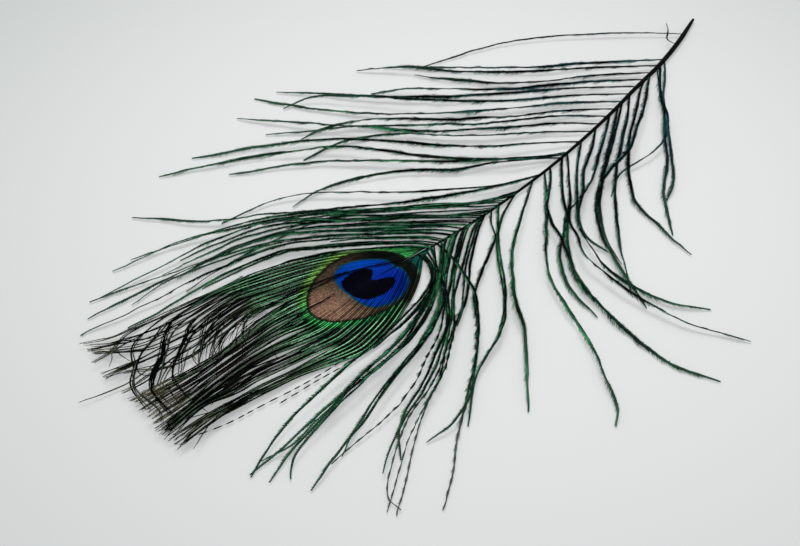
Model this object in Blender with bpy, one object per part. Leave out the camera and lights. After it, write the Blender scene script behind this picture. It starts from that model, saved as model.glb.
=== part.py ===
"""Peacock eye feather lying face up: shaft, eye vane, fan of locks and loose barbs, grown as one piece.

Units are metres in the model and millimetres in the named sizes below. +Z is up and the feather rests
on z = 0. +Y runs from the cut quill to the tips of the fan, and +X is the feather's right side seen
from above. The drawing's own zero lies near the middle of the shaft; ORIGIN moves the finished feather
so that the world's origin is under the middle of its length and breadth.
"""
import math

import bmesh
import bpy
from mathutils import Vector

MM = 0.001
ORIGIN = (-17.6, 5.7)

# All routes and outlines are drawn as they look over the ground from this point above the feather: what
# lies higher than the ground lies nearer to the point than it looks.
SEEN_FROM = (-230, 259.8, 297)

# The shaft's centre line, from the cut end of the quill to where it fades out inside the eye.
SHAFT_LINE = ((0, -150), (-5.7, -131), (-9.9, -112), (-12.7, -92), (-15.9, -72), (-18.4, -51), (-20.1, -30),
              (-20.7, -10), (-20.5, 9), (-19.3, 26), (-17.4, 43.5), (-15.3, 60))
SHAFT_RADIUS_CUT = 1.25
SHAFT_RADIUS_EYE = 0.35
SHAFT_HEIGHT = 1.1
SHAFT_STEPS = 20
SHAFT_SIDES_RESOLUTION = 2

# The vane round the eye: a thin plate, widest past the eye, where the fan's locks grow out of it.
VANE_OUTLINE = ((-18.4, 32), (-20.8, 40), (-25, 44.9), (-30, 53.3), (-33.3, 61), (-36, 70), (-37.4, 82), (-36.4, 95),
                (-24, 101), (-10, 102), (4, 101), (15.5, 95), (11, 78), (5.5, 66), (-2, 53), (-10, 41.5))
VANE_THICKNESS = 1.0

# Each route is where a barb leaves the shaft (its y) and the points (x, y) that it runs through.
LEFT_BARBS = (
    (-117, (-17, -106.5), (-24, -96), (-31, -87.5), (-38, -78.3), (-45, -69), (-52, -59.3), (-60, -46.5), (-75, -32)),
    (-113, (-17, -103), (-24, -94), (-31, -88), (-37, -81), (-44, -73), (-50, -66), (-57.5, -56), (-62.5, -45.5)),
    (-110, (-18, -101), (-25, -94.5), (-32, -86.5), (-40, -75.5), (-42.3, -61), (-41.3, -46), (-46.5, -33)),
    (-104, (-15, -97.5), (-23, -84), (-29, -70.5), (-35, -59), (-37, -44), (-43, -30), (-52, -19), (-62, -10.5)),
    (-100, (-15, -92.5), (-22.5, -80), (-30, -66.5), (-38, -54.5), (-46, -44.5), (-56, -37), (-70, -32), (-85.3, -28.8)),
    (-87.5, (-22.5, -74), (-31, -59), (-39, -46), (-48, -34), (-57, -23.7), (-66, -14), (-74, -6.5), (-82, 1)),
    (-81.5, (-23, -66.5), (-30, -54), (-38, -39), (-46, -25.5), (-56, -15), (-70, -6.5), (-80, -1.5), (-90, 3.3)),
    (-78, (-22, -66.5), (-29, -54.5), (-37, -39.5), (-46, -27), (-55, -17.5), (-64, -11), (-71, -7)),
    (-71.5, (-23, -59.3), (-32, -42.8), (-38, -29.5), (-41.7, -15.5), (-47, -5.5), (-54, 5.4), (-66, 14), (-80.8, 18)),
    (-61, (-24, -50.3), (-31, -37), (-38.5, -25), (-46, -15.5), (-54, -10), (-64, -8.6)),
    (-50.5, (-24, -42), (-32, -31), (-39.5, -22.5), (-48, -13.5), (-58, -7.3), (-73, -1.5), (-92, -3.6), (-105.5, -11)),
    (-41, (-28, -31.5), (-36, -22), (-44, -12.2), (-51.5, -8), (-60, -1.8), (-78, 0.7), (-100, -0.3), (-122.8, -8.6)),
    (-37.5, (-26, -29.7), (-34, -20.6), (-42, -13), (-50, -3.5), (-67, 9.8), (-88, 15.6), (-110, 17.7), (-125.7, 12.6)),
    (-30, (-25, -24.5), (-33, -13), (-41, -7), (-48, -3.6), (-56, 2.5), (-65, 8.6), (-75, 12.8)),
    (-26.5, (-32, -14), (-43, -0.5), (-51, 9.3), (-61, 17.6), (-77, 24.4), (-95, 33.6), (-109, 43.2), (-113.4, 50)),
    (-19.5, (-26, -9.5), (-31.2, 0), (-38.5, 12), (-50, 26), (-58, 32.5), (-66, 38.5), (-79, 52), (-91, 64.5)),
    (-9.5, (-25.5, 3), (-31, 12), (-36, 22), (-45, 38.7), (-56, 49), (-66, 61.5), (-79, 82), (-97, 109)),
    (-0.5, (-24, 3.8), (-31, 12), (-37, 17.5), (-45, 24.5), (-53, 32), (-60, 40), (-64.5, 50), (-71, 67), (-81.3, 82)),
    (3.5, (-25, 8.6), (-31, 13), (-38, 19.5), (-46, 26.5), (-54, 34), (-60, 42), (-64, 51), (-67.5, 61)),
    (30.3, (-25, 31), (-31, 32.6), (-36, 34.5), (-45.3, 39.2), (-58, 51.6), (-71.5, 69.5), (-77, 84), (-76.5, 95)),
    (6.8, (-24, 14), (-31, 24.8), (-39, 35.5), (-45.5, 44.5), (-50.5, 54.5), (-57, 66.5), (-64, 79), (-73, 96.5), (-89, 120)),
    (10, (-24, 18), (-32.5, 31.5), (-41, 44.8), (-52, 57.5), (-60, 70), (-66, 85), (-74, 101.5), (-86.5, 121)),
    (13, (-22, 18.5), (-32, 34), (-40, 45), (-50, 57), (-60.5, 75), (-68, 96), (-75, 108.5), (-82, 117), (-88.5, 117.5)),
    (35.2, (-26, 38.5), (-32, 41.5), (-38, 45.5), (-44, 50.7), (-49, 57), (-57, 73), (-63, 89), (-69, 99), (-76, 105.3)),
    (16, (-21.5, 20.5), (-31, 35), (-41, 49), (-51, 65.3), (-58.5, 84), (-61.2, 100), (-61.7, 113), (-62.7, 121)),
    (19, (-21.5, 23.5), (-31, 38), (-41, 51), (-48.3, 67), (-53, 89), (-59, 109.5), (-62.5, 123), (-65, 131.5)),
    (22, (-21.5, 26.5), (-31, 40), (-41, 53.5), (-48, 70), (-52.5, 88), (-57.5, 106), (-62.6, 116.8)),
    (25, (-21.5, 29), (-31, 41), (-39, 54), (-44.5, 70), (-46, 90), (-48, 110), (-51.5, 126), (-57.7, 133.3)),
    (28, (-22, 31.5), (-32, 44), (-39.5, 60), (-44, 76), (-45.8, 98), (-48.6, 118), (-51.3, 130), (-54, 138.3)),
    (33.5, (-25, 37.5), (-34, 49), (-40.5, 67), (-43.5, 88), (-46.5, 109), (-48.8, 124), (-46.8, 135)),
    (31.7, (-23, 35.5), (-32.5, 44.5), (-38.3, 59), (-42.3, 78), (-44.7, 99), (-46.6, 121), (-48.3, 140.5)),
    (38.8, (-24, 39.7), (-30.5, 45), (-34.4, 57), (-36.6, 75), (-38.3, 94), (-41.5, 118), (-48.5, 141)),
    (37, (-25, 38.9), (-31, 44), (-35.7, 54), (-37.3, 66), (-37.8, 80), (-38.2, 95)),
)
RIGHT_BARBS = (
    (-138, (1, -134), (10, -125.5), (20, -115), (30, -102.5), (42, -87), (52, -65), (59, -41)),
    (-129.5, (-2, -129.7), (0, -131), (2, -134), (4.5, -137), (6.5, -139.2)),
    (-117, (9, -96), (28, -73), (47, -53), (68, -33)),
    (-112, (8, -92), (26, -70), (45, -51), (64, -37), (76, -21)),
    (-106, (5, -87), (20, -66), (36, -50), (57, -36)),
    (-100, (4, -82), (19, -61), (35, -44), (52, -28), (60, -14)),
    (-94, (4, -76), (22, -53), (43, -29), (65, -8), (88, 12)),
    (-88, (2, -71), (18, -50), (38, -31), (58, -14), (75, 2), (78, 17)),
    (-82, (1, -65), (17, -43), (37, -19), (61, 3), (91, 21)),
    (-76, (-1, -60), (13, -40), (31, -20), (47, -4), (57, 14), (58, 25)),
    (-70, (-1, -55), (12, -37), (29, -17), (49, 4), (70, 33)),
    (-64, (-4, -51.5), (8, -36), (24, -17), (42, -1), (62, 15), (86, 34)),
    (-58, (-6, -46), (5, -33), (18, -18.5), (33, -5), (45, 12), (48, 33)),
    (-50, (-11, -41.7), (-3, -32.3), (5, -22.5), (20, -8.5), (34, 2.5), (48, 15), (62, 32), (79, 62)),
    (-41.5, (-13.5, -32.5), (-6, -23.5), (3, -12.5), (13, -1.5), (24, 9), (37, 22), (50, 38), (62, 58)),
    (-40, (-15.5, -34), (-9, -25.5), (-1.7, -18.3), (8.3, -9), (19.4, 0), (30.3, 6.5), (45, 18), (61, 40), (80, 77)),
    (-37.5, (-12, -28.5), (-4, -18), (5, -3.3), (15, 7.7), (21.7, 17), (28.3, 29.7), (31.7, 42), (31.5, 53)),
    (-24.5, (-16.5, -14.5), (-11, -3.5), (-5, 7), (4.3, 22), (15.5, 37), (34, 61), (47, 79), (68, 98)),
    (-24, (-14.2, -10.5), (-10, -4), (-3, 4.5), (6, 15), (17, 27), (30, 40), (39, 55), (43, 77)),
    (-12, (-18.5, -5.5), (-14, 4.5), (-6, 16), (5, 29.5), (16, 43), (29, 60), (41, 82), (51, 111)),
    (-8, (-17, -0.5), (-12.5, 6.5), (-5, 16.5), (4, 28), (13, 40.5), (20, 56), (24.5, 78), (25, 107)),
    (-2.5, (-16, 3), (-9.7, 9.5), (-3, 16.5), (5, 27), (15, 39.3), (26.3, 53), (38, 72), (46, 94), (50, 119)),
    (3, (-17, 9), (-9, 19.5), (3, 33.5), (17, 50), (27, 66), (34, 87), (37, 108)),
    (7.5, (-17, 11.5), (-10, 18.5), (0.3, 29), (10.3, 41), (20, 52), (30.3, 63), (38, 84), (43, 130)),
    (13, (-15.5, 17.5), (-6, 28), (6, 41), (18, 55), (27, 71), (32, 95), (33, 124)),
    (18, (-14.5, 22), (-6, 31.5), (5, 43.5), (16, 56), (26, 72), (33, 98), (38, 138)),
    (23, (-14, 27), (-6, 35.5), (4, 46.5), (14, 58), (24, 73), (33, 98), (44, 133)),
    (28, (-13, 31.5), (-5, 39.5), (4, 49), (13, 60), (21.5, 75), (27, 99), (33, 144)),
    (31, (-12.5, 36), (-6, 42.5), (2, 51.5), (10, 61.5), (17.5, 74), (22.5, 97), (25, 131)),
    (34, (-14.5, 37), (-10, 41.8), (-4.5, 48.3), (2, 56.5), (8, 66), (13.5, 79), (17.5, 97), (19, 116)),
)
# Locks of the fan: each runs from inside the vane through the points (x, y) to its tip.
FAN_LOCKS = (
    ((-33, 84), (-34.5, 102), (-31, 125), (-27, 143)),
    ((-31, 85), (-31.5, 104), (-28, 127), (-25, 150)),
    ((-28, 86), (-28, 105), (-24, 128), (-21, 148)),
    ((-25, 87), (-24.5, 107), (-21, 128), (-18.5, 151)),
    ((-22, 88), (-21, 108), (-18, 130), (-16, 151)),
    ((-18, 88), (-17, 108), (-14, 128), (-12, 146)),
    ((-15, 89), (-12, 108), (-9, 128), (-8, 148)),
    ((-12, 89), (-8, 108), (-5, 128), (-3.5, 149)),
    ((-9, 88), (-4, 106), (-1, 126), (1, 147)),
    ((-6, 87), (1, 106), (4, 128), (5, 148)),
    ((-4, 85), (5, 104), (8, 126), (10, 145)),
    ((-2, 83), (8, 102), (12, 126), (14, 148)),
    ((0, 81), (11, 101), (16, 126), (19, 147)),
    ((1, 78), (12, 97), (19, 122), (23, 144)),
    ((2, 75), (13, 93), (22, 120), (28, 145)),
)
STRAY_BARB = ((3, 116), (4, 132), (6, 145), (10, 160))

# A blade's section is a flat lozenge: half as wide as its radius says on each side, and lower than wide.
BLADE_FLATNESS = 0.6
BARB_RADII = (0.95, 0.45)
LOCK_RADII = (2.0, 1.3)
STRAY_RADII = (0.6, 0.3)
BARB_STEPS = 10
LOCK_STEPS = 6
# How high barbs arch between root and tip, in turn, and the height of their centre line at the tip.
BARB_LIFTS = (1.0, 3.2, 2.0, 4.2)
BARB_TIP_HEIGHT = 0.4
LOCK_LIFT = 0.6
LOCK_HEIGHT = 0.5
# The block under z = 0 that gives everything lying on the surface a flat underside.
TABLE_SIZE = (500, 500, 20)

BARB_COLOR = (0.012, 0.035, 0.022, 1)
BARB_ROUGHNESS = 0.45


def collection(name):
    group = bpy.data.collections.new(name)
    bpy.context.scene.collection.children.link(group)
    return group


def clear_scene():
    for old in list(bpy.data.objects):
        bpy.data.objects.remove(old, do_unlink=True)
    for old in list(bpy.data.collections):
        bpy.data.collections.remove(old)


def smooth_point(knots, place):
    """The point at place (0 to 1) of a Catmull-Rom curve through the knots, evenly shared among them."""
    spans = len(knots) - 1
    span = min(int(place * spans), spans - 1)
    t = place * spans - span
    here, there = Vector(knots[span]), Vector(knots[span + 1])
    before = Vector(knots[span - 1]) if span else 2 * here - there
    after = Vector(knots[span + 2]) if span + 2 <= spans else 2 * there - here
    slope_here, slope_there = (there - before) / 2, (after - here) / 2
    return (here * (2 * t**3 - 3 * t**2 + 1) + slope_here * (t**3 - 2 * t**2 + t)
            + there * (3 * t**2 - 2 * t**3) + slope_there * (t**3 - t**2))


def shaft_point(y):
    """The point of the shaft's centre line at height y of the drawing."""
    low, high = 0.0, 1.0
    for _ in range(30):
        middle = (low + high) / 2
        if smooth_point(SHAFT_LINE, middle).y < y:
            low = middle
        else:
            high = middle
    return smooth_point(SHAFT_LINE, low)


def place(point, height):
    """A point of the drawing, at a height, in the world."""
    nearer = height / SEEN_FROM[2]
    x = point.x + (SEEN_FROM[0] - point.x) * nearer
    y = point.y + (SEEN_FROM[1] - point.y) * nearer
    return Vector((x - ORIGIN[0], y - ORIGIN[1], height)) * MM


def to_mesh_object(curve_object, group):
    """Replace a curve object with a closed mesh object of the same shape."""
    bpy.context.view_layer.update()
    evaluated = curve_object.evaluated_get(bpy.context.evaluated_depsgraph_get())
    mesh = bpy.data.meshes.new_from_object(evaluated)
    welded = bmesh.new()
    welded.from_mesh(mesh)
    bmesh.ops.remove_doubles(welded, verts=welded.verts, dist=0.001 * MM)
    bmesh.ops.recalc_face_normals(welded, faces=welded.faces)
    welded.to_mesh(mesh)
    welded.free()
    name = curve_object.name
    solid = bpy.data.objects.new(name, mesh)
    solid.matrix_world = curve_object.matrix_world
    bpy.data.objects.remove(curve_object)
    solid.name = name
    group.objects.link(solid)
    return solid


def tube(name, group, points, radii, **shape):
    """A tapered solid along points (world), with a radius in millimetres at each."""
    data = bpy.data.curves.new(name, "CURVE")
    data.dimensions = "3D"
    data.twist_mode = "Z_UP"
    data.use_fill_caps = True
    for key, value in shape.items():
        setattr(data, key, value)
    spline = data.splines.new("POLY")
    spline.points.add(len(points) - 1)
    for spot, point, radius in zip(spline.points, points, radii):
        spot.co = (*point, 1)
        spot.radius = radius
    curve_object = bpy.data.objects.new(name, data)
    group.objects.link(curve_object)
    return to_mesh_object(curve_object, group)


def lozenge_profile(group):
    """The blades' section: a lozenge one millimetre to each side, flattened."""
    data = bpy.data.curves.new("blade_section", "CURVE")
    data.dimensions = "2D"
    spline = data.splines.new("POLY")
    spline.points.add(3)
    corners = ((1, 0), (0, BLADE_FLATNESS), (-1, 0), (0, -BLADE_FLATNESS))
    for spot, (x, y) in zip(spline.points, corners):
        spot.co = (x * MM, y * MM, 0, 1)
    spline.use_cyclic_u = True
    profile = bpy.data.objects.new("blade_section", data)
    profile.hide_render = True
    profile.display_type = "WIRE"
    group.objects.link(profile)
    return profile


def blade(name, group, profile, route, steps, radii, heights, lift):
    """One barb or lock along its route, arching up by lift between its two end heights."""
    points, sizes = [], []
    for step in range(steps + 1):
        part = step / steps
        height = heights[0] + (heights[1] - heights[0]) * part + lift * math.sin(math.pi * part)
        points.append(place(smooth_point(route, part), height))
        sizes.append(radii[0] + (radii[1] - radii[0]) * part)
    return tube(name, group, points, sizes, bevel_mode="OBJECT", bevel_object=profile)


def add_barbs(side, routes, group, profile):
    for index, (root, *points) in enumerate(routes):
        route = [shaft_point(root).to_tuple()] + points
        blade(f"{side}_barb_{index:02d}", group, profile, route, BARB_STEPS, BARB_RADII,
              (SHAFT_HEIGHT, BARB_TIP_HEIGHT), BARB_LIFTS[index % len(BARB_LIFTS)])


def add_fan(group, profile):
    for index, route in enumerate(FAN_LOCKS):
        lift = LOCK_LIFT * (index % 2)
        blade(f"fan_lock_{index:02d}", group, profile, route, LOCK_STEPS, LOCK_RADII,
              (LOCK_HEIGHT, LOCK_HEIGHT), lift)
    blade("stray_barb", group, profile, STRAY_BARB, LOCK_STEPS, STRAY_RADII, (LOCK_HEIGHT, LOCK_HEIGHT), 0)


def add_vane(group):
    """The plate round the eye: its outline, as its top looks, filled and extruded both ways from z = 0."""
    data = bpy.data.curves.new("vane", "CURVE")
    data.dimensions = "2D"
    data.fill_mode = "BOTH"
    data.extrude = VANE_THICKNESS * MM
    spline = data.splines.new("BEZIER")
    spline.bezier_points.add(len(VANE_OUTLINE) - 1)
    for spot, point in zip(spline.bezier_points, VANE_OUTLINE):
        spot.co = place(Vector(point), VANE_THICKNESS).to_2d().to_3d()
        spot.handle_left_type = spot.handle_right_type = "AUTO"
    spline.use_cyclic_u = True
    spline.resolution_u = 2
    curve_object = bpy.data.objects.new("vane", data)
    group.objects.link(curve_object)
    return to_mesh_object(curve_object, group)


def add_shaft(group):
    """The round shaft, thick at the cut quill and thin inside the eye."""
    points, radii = [], []
    for step in range(SHAFT_STEPS + 1):
        part = step / SHAFT_STEPS
        points.append(place(smooth_point(SHAFT_LINE, part), SHAFT_HEIGHT))
        radii.append(SHAFT_RADIUS_CUT + (SHAFT_RADIUS_EYE - SHAFT_RADIUS_CUT) * part)
    return tube("feather", group, points, radii, bevel_depth=MM, bevel_resolution=SHAFT_SIDES_RESOLUTION)


def table_cutter(group):
    """The block whose top is z = 0, which cuts off all that would reach below it."""
    size = Vector(TABLE_SIZE) * MM
    bpy.ops.mesh.primitive_cube_add(size=1, location=(0, 0, -size.z / 2))
    box = bpy.context.object
    box.name = "table_cutter"
    box.scale = size
    for owner in box.users_collection:
        owner.objects.unlink(box)
    group.objects.link(box)
    return box


def feather_material():
    material = bpy.data.materials.new("feather_barbs")
    material.use_nodes = True
    shader = material.node_tree.nodes["Principled BSDF"]
    shader.inputs["Base Color"].default_value = BARB_COLOR
    shader.inputs["Roughness"].default_value = BARB_ROUGHNESS
    return material


def boolean(target, operation, **operand):
    modifier = target.modifiers.new(operation.lower(), "BOOLEAN")
    modifier.operation = operation
    modifier.solver = "EXACT"
    for key, value in operand.items():
        setattr(modifier, key, value)
    return modifier


def main():
    clear_scene()
    parts = collection("peacock_feather")
    growth = collection("growth")
    cutters = collection("cutters")
    profile = lozenge_profile(cutters)
    feather = add_shaft(parts)
    add_vane(growth)
    add_fan(growth, profile)
    add_barbs("left", LEFT_BARBS, growth, profile)
    add_barbs("right", RIGHT_BARBS, growth, profile)
    table = table_cutter(cutters)
    for helper in list(growth.objects) + [table]:
        helper.hide_render = True
        helper.display_type = "WIRE"
    feather.data.materials.append(feather_material())
    boolean(feather, "UNION", operand_type="COLLECTION", collection=growth)
    boolean(feather, "DIFFERENCE", object=table)


main()
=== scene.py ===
"""A cut peacock eye feather lying face up on a pale table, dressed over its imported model.

Sizes are in millimetres in the feather's own drawing, whose zero lies near the middle of the shaft, and
ORIGIN moves them to the model's frame. +Y runs from the cut quill to the fan of tips and +Z is up.
"""
import math

import bpy
import numpy as np
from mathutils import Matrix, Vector


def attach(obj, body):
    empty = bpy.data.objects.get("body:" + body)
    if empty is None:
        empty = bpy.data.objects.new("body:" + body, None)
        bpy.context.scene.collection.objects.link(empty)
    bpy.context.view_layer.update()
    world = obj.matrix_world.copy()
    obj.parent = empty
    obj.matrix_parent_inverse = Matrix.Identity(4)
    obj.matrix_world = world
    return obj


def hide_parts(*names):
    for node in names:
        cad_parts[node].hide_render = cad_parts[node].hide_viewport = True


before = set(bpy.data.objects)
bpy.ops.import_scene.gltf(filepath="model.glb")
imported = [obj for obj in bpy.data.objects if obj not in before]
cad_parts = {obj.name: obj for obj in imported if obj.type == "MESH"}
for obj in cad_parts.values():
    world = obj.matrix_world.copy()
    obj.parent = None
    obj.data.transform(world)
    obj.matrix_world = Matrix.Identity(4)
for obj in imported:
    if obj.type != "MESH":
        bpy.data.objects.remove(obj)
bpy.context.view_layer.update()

MM = 0.001
ORIGIN = (-17.6, 5.7)
SEED = 11

# ---- the feather's routes, as in the model
# All routes and outlines are drawn as they look over the ground from this point: what lies higher than the
# ground lies nearer to it than it looks.
SEEN_FROM = (-230.0, 259.8, 297.0)
SHAFT_LINE = ((0, -150), (-5.7, -131), (-9.9, -112), (-12.7, -92), (-15.9, -72), (-18.4, -51),
              (-20.1, -30), (-20.7, -10), (-20.5, 9), (-19.3, 26), (-17.4, 43.5), (-15.3, 60))
SHAFT_HEIGHT = 1.1
# Each barb: where it leaves the shaft (its y) and the points (x, y) that it runs through.
LEFT_BARBS = (
    (-117, (-17, -106.5), (-24, -96), (-31, -87.5), (-38, -78.3), (-45, -69), (-52, -59.3), (-60, -46.5),
     (-75, -32)),
    (-113, (-17, -103), (-24, -94), (-31, -88), (-37, -81), (-44, -73), (-50, -66), (-57.5, -56),
     (-62.5, -45.5)),
    (-110, (-18, -101), (-25, -94.5), (-32, -86.5), (-40, -75.5), (-42.3, -61), (-41.3, -46), (-46.5, -33)),
    (-104, (-15, -97.5), (-23, -84), (-29, -70.5), (-35, -59), (-37, -44), (-43, -30), (-52, -19),
     (-62, -10.5)),
    (-100, (-15, -92.5), (-22.5, -80), (-30, -66.5), (-38, -54.5), (-46, -44.5), (-56, -37), (-70, -32),
     (-85.3, -28.8)),
    (-87.5, (-22.5, -74), (-31, -59), (-39, -46), (-48, -34), (-57, -23.7), (-66, -14), (-74, -6.5),
     (-82, 1)),
    (-81.5, (-23, -66.5), (-30, -54), (-38, -39), (-46, -25.5), (-56, -15), (-70, -6.5), (-80, -1.5),
     (-90, 3.3)),
    (-78, (-22, -66.5), (-29, -54.5), (-37, -39.5), (-46, -27), (-55, -17.5), (-64, -11), (-71, -7)),
    (-71.5, (-23, -59.3), (-32, -42.8), (-38, -29.5), (-41.7, -15.5), (-47, -5.5), (-54, 5.4), (-66, 14),
     (-80.8, 18)),
    (-61, (-24, -50.3), (-31, -37), (-38.5, -25), (-46, -15.5), (-54, -10), (-64, -8.6)),
    (-50.5, (-24, -42), (-32, -31), (-39.5, -22.5), (-48, -13.5), (-58, -7.3), (-73, -1.5), (-92, -3.6),
     (-105.5, -11)),
    (-41, (-28, -31.5), (-36, -22), (-44, -12.2), (-51.5, -8), (-60, -1.8), (-78, 0.7), (-100, -0.3),
     (-122.8, -8.6)),
    (-37.5, (-26, -29.7), (-34, -20.6), (-42, -13), (-50, -3.5), (-67, 9.8), (-88, 15.6), (-110, 17.7),
     (-125.7, 12.6)),
    (-30, (-25, -24.5), (-33, -13), (-41, -7), (-48, -3.6), (-56, 2.5), (-65, 8.6), (-75, 12.8)),
    (-26.5, (-32, -14), (-43, -0.5), (-51, 9.3), (-61, 17.6), (-77, 24.4), (-95, 33.6), (-109, 43.2),
     (-113.4, 50)),
    (-19.5, (-26, -9.5), (-31.2, 0), (-38.5, 12), (-50, 26), (-58, 32.5), (-66, 38.5), (-79, 52),
     (-91, 64.5)),
    (-9.5, (-25.5, 3), (-31, 12), (-36, 22), (-45, 38.7), (-56, 49), (-66, 61.5), (-79, 82), (-97, 109)),
    (-0.5, (-24, 3.8), (-31, 12), (-37, 17.5), (-45, 24.5), (-53, 32), (-60, 40), (-64.5, 50), (-71, 67),
     (-81.3, 82)),
    (3.5, (-25, 8.6), (-31, 13), (-38, 19.5), (-46, 26.5), (-54, 34), (-60, 42), (-64, 51), (-67.5, 61)),
    (30.3, (-25, 31), (-31, 32.6), (-36, 34.5), (-45.3, 39.2), (-58, 51.6), (-71.5, 69.5), (-77, 84),
     (-76.5, 95)),
    (6.8, (-24, 14), (-31, 24.8), (-39, 35.5), (-45.5, 44.5), (-50.5, 54.5), (-57, 66.5), (-64, 79),
     (-73, 96.5), (-89, 120)),
    (10, (-24, 18), (-32.5, 31.5), (-41, 44.8), (-52, 57.5), (-60, 70), (-66, 85), (-74, 101.5),
     (-86.5, 121)),
    (13, (-22, 18.5), (-32, 34), (-40, 45), (-50, 57), (-60.5, 75), (-68, 96), (-75, 108.5), (-82, 117),
     (-88.5, 117.5)),
    (35.2, (-26, 38.5), (-32, 41.5), (-38, 45.5), (-44, 50.7), (-49, 57), (-57, 73), (-63, 89), (-69, 99),
     (-76, 105.3)),
    (16, (-21.5, 20.5), (-31, 35), (-41, 49), (-51, 65.3), (-58.5, 84), (-61.2, 100), (-61.7, 113),
     (-62.7, 121)),
    (19, (-21.5, 23.5), (-31, 38), (-41, 51), (-48.3, 67), (-53, 89), (-59, 109.5), (-62.5, 123),
     (-65, 131.5)),
    (22, (-21.5, 26.5), (-31, 40), (-41, 53.5), (-48, 70), (-52.5, 88), (-57.5, 106), (-62.6, 116.8)),
    (25, (-21.5, 29), (-31, 41), (-39, 54), (-44.5, 70), (-46, 90), (-48, 110), (-51.5, 126),
     (-57.7, 133.3)),
    (28, (-22, 31.5), (-32, 44), (-39.5, 60), (-44, 76), (-45.8, 98), (-48.6, 118), (-51.3, 130),
     (-54, 138.3)),
    (33.5, (-25, 37.5), (-34, 49), (-40.5, 67), (-43.5, 88), (-46.5, 109), (-48.8, 124), (-46.8, 135)),
    (31.7, (-23, 35.5), (-32.5, 44.5), (-38.3, 59), (-42.3, 78), (-44.7, 99), (-46.6, 121), (-48.3, 140.5)),
    (38.8, (-24, 39.7), (-30.5, 45), (-34.4, 57), (-36.6, 75), (-38.3, 94), (-41.5, 118), (-48.5, 141)),
    (37, (-25, 38.9), (-31, 44), (-35.7, 54), (-37.3, 66), (-37.8, 80), (-38.2, 95)),
)
RIGHT_BARBS = (
    (-138, (1, -134), (10, -125.5), (20, -115), (30, -102.5), (42, -87), (52, -65), (59, -41)),
    (-129.5, (-2, -129.7), (0, -131), (2, -134), (4.5, -137), (6.5, -139.2)),
    (-117, (9, -96), (28, -73), (47, -53), (68, -33)),
    (-112, (8, -92), (26, -70), (45, -51), (64, -37), (76, -21)),
    (-106, (5, -87), (20, -66), (36, -50), (57, -36)),
    (-100, (4, -82), (19, -61), (35, -44), (52, -28), (60, -14)),
    (-94, (4, -76), (22, -53), (43, -29), (65, -8), (88, 12)),
    (-88, (2, -71), (18, -50), (38, -31), (58, -14), (75, 2), (78, 17)),
    (-82, (1, -65), (17, -43), (37, -19), (61, 3), (91, 21)),
    (-76, (-1, -60), (13, -40), (31, -20), (47, -4), (57, 14), (58, 25)),
    (-70, (-1, -55), (12, -37), (29, -17), (49, 4), (70, 33)),
    (-64, (-4, -51.5), (8, -36), (24, -17), (42, -1), (62, 15), (86, 34)),
    (-58, (-6, -46), (5, -33), (18, -18.5), (33, -5), (45, 12), (48, 33)),
    (-50, (-11, -41.7), (-3, -32.3), (5, -22.5), (20, -8.5), (34, 2.5), (48, 15), (62, 32), (79, 62)),
    (-41.5, (-13.5, -32.5), (-6, -23.5), (3, -12.5), (13, -1.5), (24, 9), (37, 22), (50, 38), (62, 58)),
    (-40, (-15.5, -34), (-9, -25.5), (-1.7, -18.3), (8.3, -9), (19.4, 0), (30.3, 6.5), (45, 18), (61, 40),
     (80, 77)),
    (-37.5, (-12, -28.5), (-4, -18), (5, -3.3), (15, 7.7), (21.7, 17), (28.3, 29.7), (31.7, 42),
     (31.5, 53)),
    (-24.5, (-16.5, -14.5), (-11, -3.5), (-5, 7), (4.3, 22), (15.5, 37), (34, 61), (47, 79), (68, 98)),
    (-24, (-14.2, -10.5), (-10, -4), (-3, 4.5), (6, 15), (17, 27), (30, 40), (39, 55), (43, 77)),
    (-12, (-18.5, -5.5), (-14, 4.5), (-6, 16), (5, 29.5), (16, 43), (29, 60), (41, 82), (51, 111)),
    (-8, (-17, -0.5), (-12.5, 6.5), (-5, 16.5), (4, 28), (13, 40.5), (20, 56), (24.5, 78), (25, 107)),
    (-2.5, (-16, 3), (-9.7, 9.5), (-3, 16.5), (5, 27), (15, 39.3), (26.3, 53), (38, 72), (46, 94),
     (50, 119)),
    (3, (-17, 9), (-9, 19.5), (3, 33.5), (17, 50), (27, 66), (34, 87), (37, 108)),
    (7.5, (-17, 11.5), (-10, 18.5), (0.3, 29), (10.3, 41), (20, 52), (30.3, 63), (38, 84), (43, 130)),
    (13, (-15.5, 17.5), (-6, 28), (6, 41), (18, 55), (27, 71), (32, 95), (33, 124)),
    (18, (-14.5, 22), (-6, 31.5), (5, 43.5), (16, 56), (26, 72), (33, 98), (38, 138)),
    (23, (-14, 27), (-6, 35.5), (4, 46.5), (14, 58), (24, 73), (33, 98), (44, 133)),
    (28, (-13, 31.5), (-5, 39.5), (4, 49), (13, 60), (21.5, 75), (27, 99), (33, 144)),
    (31, (-12.5, 36), (-6, 42.5), (2, 51.5), (10, 61.5), (17.5, 74), (22.5, 97), (25, 131)),
    (34, (-14.5, 37), (-10, 41.8), (-4.5, 48.3), (2, 56.5), (8, 66), (13.5, 79), (17.5, 97), (19, 116)),
)
BARB_LIFTS = (1.0, 3.2, 2.0, 4.2)
BARB_TIP_HEIGHT = 0.4

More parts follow.
